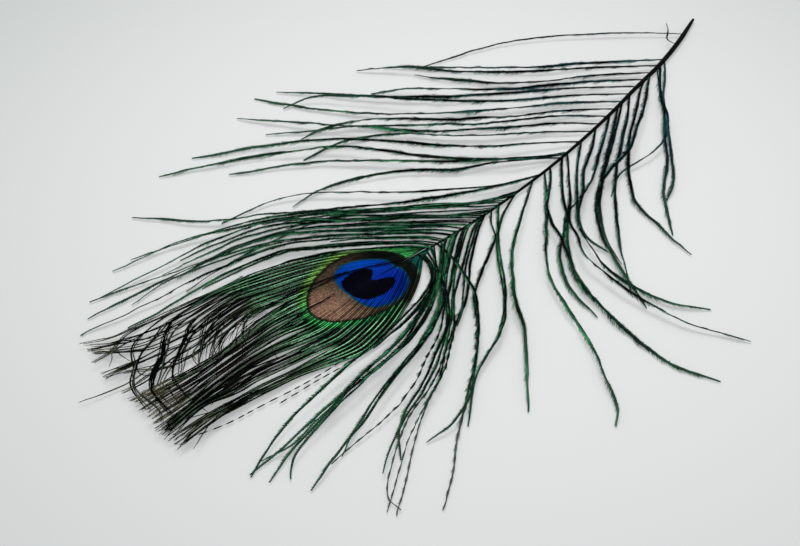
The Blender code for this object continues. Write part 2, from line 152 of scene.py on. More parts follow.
# ---- the vane round the eye and its fan
# Barbs of the vane lie between its outer edges and the middle line over the end of the shaft.
VANE_LEFT = ((-18.4, 33), (-21, 40.3), (-25, 44.9), (-30, 53.3), (-33.2, 61), (-36, 70), (-37.4, 80),
             (-37, 90), (-36, 98))
VANE_MIDDLE = ((-15.4, 61), (-15.2, 66), (-14.9, 71), (-14.6, 76), (-14.2, 81), (-13.8, 86), (-13.3, 92),
               (-12.8, 98))
VANE_RIGHT = ((-17.8, 33), (-12, 40.5), (-5.5, 48), (1, 56.5), (6.6, 66), (11.5, 77), (15, 87), (16.8, 98))
LEFT_COUNT, LOCK_RIGHT_COUNT = 32, 15
# From FAN_START on the barbs gather into locks. Each lock: the share of the vane that it takes, counted
# across from the left edge, how tan its tips are, and its left and right edge (x) at each of FAN_ROWS (y).
FAN_START = 90
FAN_ROWS = (97, 105, 115, 125, 135, 148.5)
FAN_LOCKS = (
    (0.0, 0.17, 0.25, (-33.2, -27.4), (-30.4, -26.4), (-28.0, -24.4), (-26.0, -22.8), (-25.3, -20.9),
     (-26.0, -20.4)),
    (0.17, 0.3, 0.0, (-26.8, -20.8), (-25.2, -19.0), (-22.9, -17.2), (-22.2, -16.6), (-18.8, -16.2),
     (-20.0, -16.6)),
    (0.3, 0.44, 0.05, (-20.6, -14.7), (-17.8, -13.4), (-16.8, -12.8), (-16.4, -13.2), (-16.6, -14.4),
     (-17.2, -15.0)),
    (0.44, 0.58, 0.9, (-13.9, -8.2), (-13.0, -8.1), (-12.6, -8.3), (-13.0, -8.5), (-13.8, -7.9),
     (-14.2, -7.2)),
    (0.58, 0.72, 1.0, (-8.0, -2.0), (-7.9, -2.9), (-7.7, -3.8), (-7.8, -3.4), (-7.4, -2.0), (-6.4, 0.9)),
)
# The rest of the fan is a lattice of barbs that cross: (x, y) of each from the vane's end to its tip.
LATTICE = (
    ((0.5, 97), (0.2, 101.5), (-1.8, 105), (-4, 107.2)),
    ((1, 97), (1.2, 108), (0.9, 120), (1.3, 127), (2.6, 132.5), (5.2, 136), (8.2, 140), (10.5, 143.5)),
    ((2, 97), (1.4, 104), (0.2, 110.5), (-1.5, 114.5), (-3, 117.5), (-4.6, 119.5)),
    ((3, 97), (2.6, 112), (1, 121), (1.6, 128), (4.2, 134), (7, 138.5), (9.5, 142.5)),
    ((3.8, 97), (3.4, 106), (2.2, 112), (0, 115.5), (-2, 118.2), (-4.5, 121)),
    ((4.5, 97), (4.2, 112), (3.1, 121), (3.6, 129), (3.2, 135), (2.7, 142), (3.5, 148.5)),
    ((5.2, 97), (5, 106), (3.9, 115), (3, 121), (1.2, 123.8), (-1, 124.6), (-4, 124.9)),
    ((6, 97), (5.4, 112), (6.5, 122), (8.5, 130), (9.6, 135), (11, 140), (12.2, 145), (12.3, 149)),
    ((7, 97), (7.2, 108), (5.4, 114), (2, 118.6), (-0.6, 121.3), (-3.6, 124.4)),
    ((7.8, 97), (7.9, 115), (6.6, 126), (5.8, 135), (5.5, 141), (6.2, 147), (8, 153), (10.5, 160)),
    ((8.6, 97), (8.6, 112), (9.2, 122), (10.6, 131), (11.6, 139), (13.3, 146), (13.9, 149)),
    ((9.4, 97), (9.6, 108), (8.4, 116), (6, 122), (3, 127), (0.4, 129), (-2.6, 131.5)),
    ((10.2, 97), (10.6, 112), (11.6, 124), (13.4, 131.5), (16.5, 136.5), (20, 141.2), (23.6, 145)),
    ((11, 97), (11.2, 108), (9.6, 117), (7, 122.5), (4, 128), (2.4, 132.4), (-0.2, 136.2), (-2.6, 138.4)),
    ((11.8, 97), (12.6, 112), (13.6, 122), (15, 130), (17, 135), (20, 139.5), (22.4, 143), (24.2, 145.6)),
    ((12.6, 97), (13, 108), (11.6, 116), (8, 120.8), (5, 125.4), (2, 129.6), (-1, 132.6), (-4, 134.4),
     (-12, 135)),
    ((13.3, 97), (14.4, 112), (15, 121), (17, 128.5), (19.2, 133), (22, 137.6), (24, 141.5), (26.4, 146)),
    ((14, 97), (15, 108), (14.4, 118), (12, 124), (9, 127.4), (6, 130.6), (3.6, 133), (0.6, 136.6),
     (-1, 139)),
    ((14.6, 97), (16.2, 112), (18, 122), (20, 130), (22.2, 135.4), (24, 140), (27.4, 144.5)),
    ((15.2, 97), (17, 108), (18, 117), (17.2, 123), (15.4, 127.8), (14.2, 131.6), (12.8, 135),
     (10.4, 138.4), (8, 141), (5.5, 143.2), (2, 144.8), (-3, 144.8), (-8, 144.4), (-11.5, 145.2),
     (-14.5, 147)),
    ((15.8, 97), (17.8, 110), (17.6, 118), (15.8, 122), (12.6, 126), (9, 129.6), (7, 132.6), (5.2, 135.8),
     (3, 138.4), (0, 140.6), (-3, 142), (-9, 142.8), (-14.5, 143)),
    ((16.4, 97), (19, 112), (21.2, 121.5), (22.6, 129), (22.8, 134), (21.2, 138.5), (20.3, 142),
     (20.4, 147.5)),
    ((17, 97), (19.6, 112), (20.6, 120), (19.7, 128), (18.3, 133), (16.3, 136), (13, 138.4), (10, 140),
     (8, 142), (5.5, 144.2), (2, 145.4), (-2, 146), (-6.5, 146.7)),
    ((17.6, 97), (20.4, 112), (22, 121), (23.2, 129), (24.4, 136), (26.5, 141.5), (29.2, 145.6)),
)
# Loose strands over the fan: half width, how tan (0 dark, 1 tan), then (x, y) from end to end.
STRANDS = (
    (0.16, 0.0, (16.5, 112), (17.4, 119), (13.5, 126), (9.5, 130), (6.6, 133.5), (4.6, 136.8), (2, 139.8),
     (-1.5, 141.9), (-6, 142.8), (-14.5, 143.5)),
    (0.2, 0.0, (15, 112), (15.6, 121), (12, 127), (8, 130.5), (6, 134), (3.8, 137.6), (1.2, 140.4),
     (-2.5, 142.2), (-8, 142.3), (-14, 142.4)),
    (0.18, 0.0, (16, 120), (12.5, 125), (8.6, 128.6), (6.4, 131.5), (4.4, 135.6), (1.4, 138.4),
     (-2, 140.6), (-8, 141), (-14.4, 140.6)),
    (0.6, 0.0, (8, 128.2), (7, 131.6), (5.6, 134.6), (3.2, 137.4), (0.8, 139.8)),
    (0.6, 0.0, (6.6, 129.6), (5.8, 132.4), (4.2, 135.4), (1.8, 138), (-0.4, 140.4), (-1.6, 141.8)),
    (0.18, 0.0, (1.5, 131), (-3, 134.2), (-9, 135.2), (-16, 135), (-22.5, 134.6)),
    (0.18, 0.05, (-3.4, 136.4), (-6, 137.6), (-10, 138.6), (-14.5, 138.6)),
    (0.15, 0.0, (3, 138), (6, 140.1), (9, 139.4), (11, 137.4), (13, 134.6), (14.4, 131)),
    (0.16, 0.0, (9.2, 128.6), (11, 127), (14, 124.4), (16, 121.4), (16.6, 117)),
    (0.22, 0.0, (2, 129.8), (5, 125.7), (8, 120.7), (11.8, 116.3), (13.5, 111)),
    (0.2, 0.5, (12.5, 132), (15, 135.6), (18, 139), (21, 141.6), (24.4, 145.4)),
    (0.2, 0.6, (13.4, 134), (16, 136.4), (19, 139.6), (22, 142.4), (25.8, 146.2)),
    (0.16, 0.3, (9.4, 136), (11.2, 140.4), (13.4, 144), (15.6, 149)),
    (0.16, 0.7, (10, 137), (10.9, 141), (11.8, 146), (12.2, 149.4)),
    (0.14, 0.3, (8.6, 140.5), (11, 144.4), (12.8, 148.6)),
    (0.12, 0.1, (15.6, 145.6), (17.6, 143), (20.2, 141.2), (23, 140)),
    (0.12, 0.1, (12.6, 139.2), (16, 139.7), (19, 140), (22.4, 141.4)),
    (0.26, 0.0, (20.4, 136), (20, 141), (20.4, 145), (20.5, 147.8)),
    (0.2, 0.9, (4.3, 136), (4.2, 141), (3.8, 145), (3.7, 148.9)),
    (0.18, 0.8, (2.6, 137), (2.7, 142), (3.3, 146), (3.6, 148.4)),
    (0.16, 0.0, (-4.2, 104.8), (-2, 103.4), (0.2, 101)),
    (0.16, 0.0, (-4.4, 118.6), (-2.2, 115), (0, 111.6), (1.6, 107.6)),
    (0.16, 0.0, (-3.4, 131), (-0.4, 127.6), (2, 125), (4.2, 121.4)),
    (0.14, 0.0, (-20, 105.2), (-16, 103.8), (-12.4, 102.2)),
    (0.14, 0.0, (-29, 146.6), (-26.6, 141), (-25, 137), (-24, 132), (-23, 127)),
    (0.24, 0.0, (-22.8, 128), (-22, 134), (-22.6, 139), (-23.8, 143), (-24.8, 147), (-25.8, 150.2)),
    (0.16, 0.0, (-18.4, 141), (-20, 137.4), (-21.6, 134), (-22.8, 129)),
    (0.16, 0.0, (-21.8, 131), (-22.2, 138), (-21.6, 143), (-20.8, 149.4)),
    (0.34, 0.0, (-20.2, 121), (-18.2, 130), (-17, 138), (-17.8, 144), (-20, 150.4)),
    (0.34, 0.0, (-19.2, 118), (-17.4, 128), (-16.4, 138), (-16.6, 144), (-17.4, 150.4)),
    (0.34, 0.0, (-17.6, 118), (-16, 128), (-15.4, 138), (-15.2, 144), (-15.4, 150.4)),
    (0.3, 0.0, (-18.6, 112), (-17.6, 122), (-17, 132), (-17.4, 140), (-18.8, 149.6)),
    (0.3, 0.0, (-16.8, 112), (-16.6, 124), (-15.8, 134), (-16, 142), (-16.2, 150)),
    (0.22, 0.0, (-26.5, 121), (-25.4, 130), (-25.2, 138), (-25.2, 144), (-25.7, 149.6)),
    (0.3, 0.12, (-21.6, 103), (-19.4, 110), (-17.6, 117), (-17, 124), (-18.6, 130)),
    (0.3, 0.1, (-20.4, 102), (-18.2, 109), (-16.4, 116), (-15.6, 124), (-16.4, 131)),
    (0.3, 0.15, (-17.8, 104), (-16.8, 111), (-16.2, 118), (-17.4, 126), (-19.6, 132)),
    (0.28, 0.12, (-22.8, 108), (-20.6, 115), (-18.8, 121), (-18, 127)),
    (0.3, 0.1, (-15.4, 108), (-14.8, 115), (-14.6, 122), (-15.6, 129)),
    (0.2, 0.0, (11.5, 137), (13.5, 134), (14.6, 130), (16.5, 125.5), (18, 122)),
    (0.2, 0.5, (15, 127), (18, 131), (20.4, 134.2), (22.6, 137.2), (23.6, 141), (25, 145)),
    (0.22, 0.6, (10.6, 127), (13, 132.4), (16.2, 136.2), (19, 140), (21.6, 142.6), (24.4, 145.4)),
    (0.2, 0.9, (10.6, 131), (11.4, 136), (12.6, 142), (13.6, 149)),
    (0.2, 0.4, (8, 130), (9.5, 135), (11, 140), (12.1, 145), (12.3, 148.8)),
    (0.22, 1.0, (19.6, 130), (20.2, 138), (20.1, 143.5), (20.4, 147.6)),
    (0.2, 0.8, (20.8, 133), (23.2, 139.6), (25.6, 143), (28.8, 145.4)),
    (0.18, 0.7, (-6.6, 130), (-6.9, 138), (-6.8, 144), (-6.6, 149)),
    (0.18, 0.9, (-4.4, 130), (-4.6, 138), (-4.2, 144), (-3.6, 149)),
    (0.18, 0.8, (-1.9, 130), (-1.4, 139), (-0.6, 144.6), (0.8, 149)),
    (0.18, 0.6, (-10.6, 130), (-10.8, 139), (-10.6, 146), (-10.4, 148)),
    (0.18, 0.4, (-13.6, 130), (-13.6, 140), (-13.5, 148)),
)
# Fine strands that turn aside over the lattice and cross it, spread evenly between these two places (x).
CROSSING_COUNT = 22
CROSSING_RANGE = (-4.0, 11.0)
# Two thin strands beside the fan whose barbules cling together in dashes.
DASHED = (
    ((-35, 88), (-34.6, 97), (-33.6, 106), (-32.4, 113), (-31.2, 119), (-30.2, 125), (-29.2, 131),
     (-27.9, 136), (-26.3, 140.6), (-25.2, 143.4)),
    ((-37, 82), (-36.8, 92), (-36, 99), (-35.3, 104), (-34.9, 109), (-34.4, 113), (-34.1, 117)),
)
# Dark strands over the eye.
EYE_STRANDS = (
    (0.27, (-17, 41), (-15, 46.5), (-12.9, 50.5), (-10, 55.5), (-8, 60), (-6.4, 64), (-5.7, 68), (-5, 73),
     (-3.8, 80), (-3.4, 92)),
    (0.32, (-6.6, 62), (-5, 67), (-3.6, 72), (-2.4, 76), (-1.3, 80), (-0.6, 85), (-0.4, 91), (-0.2, 99)),
    (0.12, (-14.5, 45), (-12, 51), (-8.8, 59), (-7, 64), (-6, 69)),
    (0.08, (-18, 41), (-20.5, 48), (-24, 53), (-27, 61), (-28.5, 69), (-29, 78), (-28.6, 88)),
    (0.3, (-11.2, 72), (-11, 78), (-10.4, 82), (-10.2, 88), (-10.3, 95), (-9.6, 104)),
    (0.08, (-13, 42), (-6.5, 50.5), (-2.5, 60), (0, 70), (3, 82), (6, 96)),
    (0.07, (-10.5, 43), (-4, 52), (0, 62), (3.5, 73), (6.5, 85), (9, 98)),
)
EGG = ((-13.5, 84.6), (-18, 83.5), (-22.5, 79.5), (-26.6, 73.5), (-28.9, 67), (-29.6, 60), (-28.5, 53),
       (-26, 48), (-22, 44), (-17, 43.2), (-12.5, 43.8), (-7, 47.2), (-2.5, 52.8), (0, 59), (0, 66),
       (-1.7, 73), (-5.2, 79), (-9.5, 83.2))
BLUE = ((-15, 69.6), (-20, 69.4), (-24.6, 68.4), (-27.1, 65.2), (-28.3, 60.5), (-27.9, 55.5),
        (-25.8, 51.2), (-22.4, 48.7), (-19, 47.8), (-16.2, 48.6), (-13, 48.5), (-9.8, 50.4), (-6.6, 53.8),
        (-4.2, 57.8), (-3.2, 62.3), (-4.4, 65.9), (-7, 68.2), (-10.5, 69.3))
HEART = ((-15, 69.1), (-18.5, 68.4), (-21.5, 66.2), (-23, 62.5), (-23.3, 58.5), (-22.4, 54.8),
         (-20.4, 52.9), (-18.7, 54), (-17, 57), (-15.6, 58.9), (-14, 57), (-12.2, 55.5), (-10.2, 56.4),
         (-8.7, 59.6), (-8.2, 63.5), (-9, 67), (-11.6, 68.8))


def part_random(part):
    """A random generator of its own for each part, so that one part's draws don't move another's."""
    return np.random.default_rng(SEED + part)


# ---- curves
def smooth(knots, count):
    """count + 1 points along a Catmull-Rom curve through the knots, evenly shared among them."""
    knots = np.array(knots, float)
    before_first, after_last = 2 * knots[0] - knots[1], 2 * knots[-1] - knots[-2]
    ring = np.vstack([before_first, knots, after_last])
    place = np.linspace(0, len(knots) - 1, count + 1)
    low = np.minimum(place.astype(int), len(knots) - 2)
    t = (place - low)[:, None]
    before, here, there, after = (ring[low + k] for k in range(4))
    return (here * (2 * t**3 - 3 * t**2 + 1) + (there - before) / 2 * (t**3 - 2 * t**2 + t)
            + there * (3 * t**2 - 2 * t**3) + (after - here) / 2 * (t**3 - t**2))


def closed(knots, count):
    """A closed smooth outline through the knots, count points to each."""
    knots = list(knots)
    long_way = smooth(knots[-2:] + knots + knots[:3], (len(knots) + 4) * count)
    return long_way[2 * count:(len(knots) + 2) * count]


def lengths(path):
    """The distance along a path at each of its points."""
    return np.concatenate([[0], np.cumsum(np.linalg.norm(np.diff(path, axis=0), axis=1))])


def evenly(path, step):
    """The same path with points about step apart."""
    way = lengths(path)
    at = np.linspace(0, way[-1], max(int(way[-1] / step), 3) + 1)
    return read_along(path, way, at)


def read_along(field, way, at):
    """A number, a list or rows of values along a way, read at other places on it."""
    if np.ndim(field) == 0:
        return np.full(len(at), float(field))
    if np.ndim(field) == 1:
        return np.interp(at, way, field)
    return np.column_stack([np.interp(at, way, column) for column in field.T])


def fade(value, start, end):
    """0 up to the start, 1 from the end on and even in between; the end may be the lower of the two."""
    return np.clip((value - start) / (end - start), 0, 1)


def taper(way, tip, least, root, first):
    """Thinner to both ends: from first to 1 within the root's length, and to least over the tip's length."""
    return np.clip((way[-1] - way) / tip, least, 1) * np.clip(way / root + first, 0, 1)


def frames(path, roll=0.0):
    """Unit tangent, side (to the right) and normal (up) at each point, turned by roll about the tangent."""
    tangent = np.gradient(path, axis=0)
    tangent /= np.linalg.norm(tangent, axis=1)[:, None]
    side = np.cross(tangent, (0, 0, 1))
    side /= np.linalg.norm(side, axis=1)[:, None]
    normal = np.cross(side, tangent)
    roll = np.broadcast_to(roll, len(path))[:, None]
    return tangent, np.cos(roll) * side + np.sin(roll) * normal, np.cos(roll) * normal - np.sin(roll) * side


def wander(rng, way, period, size):
    """Smooth random values along a way, with bends about a period apart."""
    knots = np.arange(0, way[-1] + 2 * period, period)
    values = rng.normal(0, size, len(knots))
    place = np.interp(way, knots, np.arange(len(knots)))
    low = np.minimum(place.astype(int), len(knots) - 2)
    t = place - low
    t = t * t * (3 - 2 * t)
    return values[low] * (1 - t) + values[low + 1] * t


SHAFT_SAMPLES = smooth(SHAFT_LINE, 400)


def shaft_at(y):
    return np.interp(y, SHAFT_SAMPLES[:, 1], SHAFT_SAMPLES[:, 0]), y


def settled(path):
    """Where a path really runs that looks like this one, with each point's own height."""
    nearer = path[:, 2:3] / SEEN_FROM[2]
    return np.column_stack([path[:, :2] + (np.array(SEEN_FROM[:2]) - path[:, :2]) * nearer, path[:, 2]])


def inside(outline, points):
    """How far each point (x, y) lies inside a closed outline, negative outside."""
    a, b = outline, np.roll(outline, -1, axis=0)
    edge = b - a
    to_point = points[:, None, :] - a[None]
    t = np.clip((to_point * edge).sum(2) / (edge**2).sum(1), 0, 1)
    near = np.linalg.norm(to_point - t[..., None] * edge, axis=2).min(1)
    x, y = points[:, 0, None], points[:, 1, None]
    crosses = (a[:, 1] > y) != (b[:, 1] > y)
    meet = a[:, 0] + (y - a[:, 1]) * edge[:, 0] / np.where(edge[:, 1] == 0, 1e-9, edge[:, 1])
    odd = (crosses & (x < meet)).sum(1) % 2 == 1
    return np.where(odd, near, -near)


# ---- meshes
class Growth:
    """One piece, collected barb by barb. Every barb has a row of the piece's map to itself."""

    def __init__(self, rows, *names):
        self.rows, self.count, self.names = rows, 0, names
        self.points, self.faces, self.map, self.under = [], [], [], []
        self.values = {name: [] for name in names}

    def add(self, points, faces, under, u, v, row, bands, **values):
        """Add a block: its points, its faces and which of them look down, its places along (u) and across (v)
        its row, the bands of the row that its upper and its lower faces take, and its named values."""
        self.points.append(points)
        self.faces.extend((faces + self.count).tolist())
        self.count += len(points)
        (low, high), (under_low, under_high) = bands
        across = np.where(under[:, None], under_low + v[faces] * (under_high - under_low),
                          low + v[faces] * (high - low))
        self.map.append(np.stack([np.clip(u[faces], 0, 1), (row + across) / self.rows], -1).reshape(-1, 2))
        self.under.append(under.astype(float))
        for name in self.names:
            self.values[name].append(np.broadcast_to(values.get(name, 0.0), len(points)).astype(float))

    def build(self, name, material, round_faces=False):
        points = np.vstack(self.points) - (*ORIGIN, 0)
        mesh = bpy.data.meshes.new(name)
        mesh.from_pydata((points * MM).tolist(), [], self.faces)
        mesh.uv_layers.new(name="OFBake").data.foreach_set("uv", np.vstack(self.map).ravel())
        for value in self.names:
            attribute = mesh.attributes.new(value, "FLOAT", "POINT")
            attribute.data.foreach_set("value", np.concatenate(self.values[value]))
        mesh.attributes.new("under", "FLOAT", "FACE").data.foreach_set("value", np.concatenate(self.under))
        mesh.polygons.foreach_set("use_smooth", [round_faces] * len(mesh.polygons))
        mesh.materials.append(material)
        mesh.update()
        piece = bpy.data.objects.new(name, mesh)
        bpy.context.scene.collection.objects.link(piece)
        return piece


# The parts of a map row that upper and lower faces take, for a barb alone or for a stalk with its barbules.
WHOLE_ROW = ((0.02, 0.49), (0.51, 0.98))
STALK_BANDS = ((0.02, 0.2), (0.22, 0.4))
BARBULE_BANDS = ((0.42, 0.69), (0.71, 0.98))
# No part of a tube or a barbule lies lower than LOWEST, and no barbule's tip lower than LOWEST_TIP.
LOWEST, LOWEST_TIP = 0.02, 0.03


def tube_walls(count, sides):
    """The faces between count rings of points."""
    first, step = np.arange(count - 1)[:, None] * sides, np.arange(sides)[None]
    here, beside = first + step, first + (step + 1) % sides
    return np.stack([here, here + sides, beside + sides, beside], -1).reshape(-1, 4)


def add_tube(growth, path, width, height, row, roll=0.0, bands=STALK_BANDS, **values):
    """A closed lozenge tube along a path: half widths to its sides, half heights up and down."""
    _, side, normal = frames(path, roll)
    width, height = (np.broadcast_to(size, len(path))[:, None] for size in (width, height))
    out, up = side * width, normal * height
    ring = np.stack([path + out, path + up, path - out, path - up], 1)
    ring[..., 2] = np.maximum(ring[..., 2], LOWEST)
    count = len(path)
    last = 4 * (count - 1)
    caps = np.array([[0, 1, 2, 3], [last + 3, last + 2, last + 1, last]])
    under = np.append(np.tile([False, False, True, True], count - 1), [False, False])
    along = np.repeat(np.linspace(0, 1, count), 4)
    across = np.tile([1, 0.5, 0, 0.5], count)
    values = {name: np.repeat(value, 4) if np.ndim(value) else value for name, value in values.items()}
    growth.add(ring.reshape(-1, 3), np.vstack([tube_walls(count, 4), caps]), under, along, across, row, bands,
               along=along, edge=np.tile([1.0, 0.0, 1.0, 0.0], count), **values)


SPIKE_FACES = np.array([[0, 1, 3], [1, 2, 3], [2, 0, 3], [0, 2, 1]])
SPIKE_HEIGHT, LEAST_SPIKE = 0.16, 0.05
# How barbules vary, from one to the next (spread) and slowly along a barb (the way between bends, the size).
PLACE_SPREAD = 0.35
SIZE_RANGE, SIZE_WANDER = (0.8, 1.12), (3.0, 0.13)
LEAN_SPREAD, LEAN_WANDER = 4, (5.0, 5.0)
LIFT_SPREAD, LIFT_WANDER, BUNDLE_WANDER = 0.08, (2.5, 0.25), 0.2
# Glints are painted: these make barbules lighter or darker in their tint, where real ones would catch the
# light.
GLINT_SPREAD, GLINT_WANDER = 0.15, (1.5, 0.21)
# Painted shade: the side with the shorter barbules is darker, as a barb's shaded side, by this times what
# they lack.
PAINTED_SIDE_SHADE = 0.75


def add_barbules(growth, path, row, rng, reach, spacing, angle, thick, clump=0.8, pull=0.5, roll=0.0,
                 hands=(1, 1), bands=BARBULE_BANDS, **values):
    """Barbules on both sides of a path: slim closed spikes that lean to the tip and cling together there.

    reach is their length at each point of the path, angle their lean from it, thick their width at the root,
    clump and pull how long and how tight their bundles are, hands how much of the length each side has."""
    way = lengths(path)
    tangent, side, normal = frames(path, roll)
    for hand, share in zip((1, -1), hands):
        at = np.arange(0, way[-1], spacing)
        at = np.clip(at + rng.uniform(-PLACE_SPREAD, PLACE_SPREAD, len(at)) * spacing, 0, way[-1])
        count = len(at)
        fields = (path, tangent, side * hand, normal, reach)
        base, ahead, out, up, size = (read_along(field, way, at) for field in fields)
        size = size * share * rng.uniform(*SIZE_RANGE, count) * (1 + wander(rng, at, *SIZE_WANDER))
        size = np.maximum(size, LEAST_SPIKE)
        lean = np.radians(angle + rng.normal(0, LEAN_SPREAD, count) + wander(rng, at, *LEAN_WANDER))
        bundle = (np.floor(at / clump) + 0.5) * clump + wander(rng, at, clump, BUNDLE_WANDER)
        drift = np.clip(bundle - at, -clump, clump) * pull * np.minimum(size, 1)
        lift = wander(rng, at, *LIFT_WANDER) + rng.normal(0, LIFT_SPREAD, count)
        tip = (base + ahead * (np.cos(lean) * size + drift)[:, None] + out * (np.sin(lean) * size)[:, None]
               + up * (lift * size * 0.5)[:, None])
        tip[:, 2] = np.maximum(tip[:, 2], LOWEST_TIP)
        half = ahead * (np.minimum(thick, size) / 2)[:, None]
        spikes = np.stack([base - half, base + half, base + up * SPIKE_HEIGHT, tip], 1)
        spikes[:, :3, 2] = np.maximum(spikes[:, :3, 2], LOWEST)
        faces = SPIKE_FACES if hand > 0 else SPIKE_FACES[:, ::-1]
        faces = (np.arange(count)[:, None, None] * 4 + faces[None]).reshape(-1, 3)
        under = np.tile([True, False, False, False], count)
        u = np.column_stack([at - thick, at + thick, at, at + np.cos(lean) * size]) / way[-1]
        v = 0.5 + hand * np.tile([0.04, 0.04, 0.02, 0.5], (count, 1))
        # Painted glints and painted shade: each barbule's tint is raised or lowered at random, and the short
        # side's tint is lowered.
        glint_and_side_shade = rng.normal(0, GLINT_SPREAD, count) + wander(rng, at, *GLINT_WANDER)
        glint_and_side_shade += PAINTED_SIDE_SHADE * (share - 1)
        own = {name: np.repeat(read_along(value, way, at), 4) for name, value in values.items()}
        own["tint"] = own["tint"] + np.repeat(glint_and_side_shade, 4)
        growth.add(spikes.reshape(-1, 3), faces, under, u.ravel(), v.ravel(), row, bands,
                   along=np.repeat(at / way[-1], 4), edge=np.tile([0.0, 0.0, 0.0, 1.0], count), **own)


# ---- the loose barbs
# How full a barb is along it, from its root (0) to its tip (1).
LOW_SWELL = ((0, 0.5), (0.08, 0.68), (0.25, 0.95), (0.6, 0.92), (0.8, 0.82), (0.94, 0.66), (1, 0.28))
HIGH_SWELL = ((0, 0.45), (0.05, 0.55), (0.2, 0.7), (0.5, 0.7), (0.75, 0.57), (0.94, 0.44), (1, 0.22))
# The fullness of the slim barbs, by their place in the routes, and of the ones between two routes.
SLIM_LEFT = {2: 0.6, 18: 0.75, 22: 0.9, 24: 0.8, 32: 0.7}
SLIM_RIGHT = {0: 0.55, 1: 0.35}
BETWEEN_FULLNESS = 0.8
# Worn left barbs: how pale and thin each is near its tip, and how deep the dashes are that its barbules make.
WORN_LEFT = {16: (0.8, 0.5), 20: (1.0, 0.6), 21: (0.9, 0.7), 22: (1.0, 0.6), 24: (0.3, 0.85)}
# The length of a dash with its gap, where dashes and paleness set in along a barb (0 to 1), and how much
# the paleness thins it.
DASH_LENGTH, DASH_SPAN, PALE_SPAN, PALE_THINNING = 4.6, (0.3, 0.5), (0.6, 0.85), 0.3
# The routes that slim barbs lie between, and where these start and run on, as shares of the pair's gap.
LEFT_PAIRS = ((20, 21), (22, 24), (25, 26), (27, 28), (30, 29), (32, 31))
LEFT_BETWEEN = ((0.5, 0.15),)
RIGHT_PAIRS = tuple((index, index + 1) for index in range(19, 29))
RIGHT_BETWEEN = ((0.33, 0.2), (0.68, 0.85))
# How much longer the barbules are on the right and on the left of a barb.
LEFT_HANDS, RIGHT_HANDS = (1.25, 0.75), (0.75, 1.25)
BARB_POINTS = 72
BARB_STEP, WORN_BARB_STEP = 1.5, 0.7
# How barbs vary along them: the way between bends and a size.
BEND_WANDER, RIPPLE_WANDER, ROLL_WANDER = (13.0, 0.32), (4.5, 0.1), (20.0, 0.45)
SWELL_WANDER, TINT_WANDER, STALK_WANDER = (16.0, 0.1), (14.0, 0.15), (1.6, 0.16)
# A barb's bends grow over this first part of it, and it rolls no further than this to either side (radians).
SETTLE_PART, MOST_ROLL = 0.4, 0.85
# A stalk's half width and half height: with no barbules, and what a full barb has more.
STALK_WIDTH, STALK_HEIGHT = (0.12, 0.46), (0.1, 0.14)
# How far the barbules of a full barb reach, and what else sets them.
BARBULE_REACH = 2.35
BARBULES = {"spacing": 0.175, "angle": 33.0, "thick": 0.38, "clump": 0.75, "pull": 0.8}
# Tints run from 0 (dark) to 1. Barbs are a little greener towards the tip of the feather, and stalks darker.
BARB_TINT, BARB_TINT_SPREAD, GREENER, STALK_SHADE = 0.43, 0.1, 0.07, 0.2
# How the ones between two routes vary: their share of the gap, how much of it they run, how much higher.
SHARE_SPREAD, SHARE_RANGE, KEPT_RANGE, HIGHER_RANGE = 0.12, (0.08, 0.92), (0.5, 0.92), (0.1, 0.5)


def barb_path(root, points, lift):
    """A loose barb's centre line: from the shaft over its arch to the tip."""
    flat = smooth([shaft_at(root), *points], BARB_POINTS)
    part = np.linspace(0, 1, len(flat))
    height = SHAFT_HEIGHT + (BARB_TIP_HEIGHT - SHAFT_HEIGHT) * part + lift * np.sin(np.pi * part)
    return np.column_stack([flat, height])


def add_barb(growth, path, row, rng, hands, swell, full=1.0, worn=(0.0, 0.0)):
    """One loose barb: a flat dark stalk and its two rows of barbules, full as the swell says.

    A worn one is dashed along its outer half, and thin and pale near its tip."""
    paleness, dash_depth = worn
    path = evenly(path, WORN_BARB_STEP if dash_depth else BARB_STEP)
    way = lengths(path)
    part = way / way[-1]
    _, side, _ = frames(path)
    settle = fade(part, 0, SETTLE_PART)
    bends = wander(rng, way, *BEND_WANDER) + wander(rng, way, *RIPPLE_WANDER)
    path = path + side * (bends * settle)[:, None]
    roll = np.clip(wander(rng, way, *ROLL_WANDER), -MOST_ROLL, MOST_ROLL) * settle
    swell = np.interp(part, *np.array(swell).T) * full * (1 + wander(rng, way, *SWELL_WANDER))
    pale = paleness * fade(part, *PALE_SPAN)
    wave = np.clip(0.5 + 0.9 * np.sin(2 * np.pi * way / DASH_LENGTH + 1.3 * np.sin(way / 5)), 0, 1)
    dash = dash_depth * fade(part, *DASH_SPAN) * wave
    swell = swell * (1 - PALE_THINNING * pale) * (1 - dash)
    greener = GREENER * np.clip((path[:, 1] + 10) / 50, -0.5, 1)
    tint = BARB_TINT + rng.normal(0, BARB_TINT_SPREAD) + wander(rng, way, *TINT_WANDER) + greener
    path = settled(path)
    width = STALK_WIDTH[0] + STALK_WIDTH[1] * swell * (1 + wander(rng, way, *STALK_WANDER))
    height = STALK_HEIGHT[0] + STALK_HEIGHT[1] * swell
    add_tube(growth, path, width, height, row, roll, tint=tint - STALK_SHADE, stalk=1.0, run=way, worn=pale)
    add_barbules(growth, path, row, rng, BARBULE_REACH * swell, **BARBULES, roll=roll, hands=hands,
                 tint=tint, worn=np.maximum(pale, 0.5 * paleness * dash))


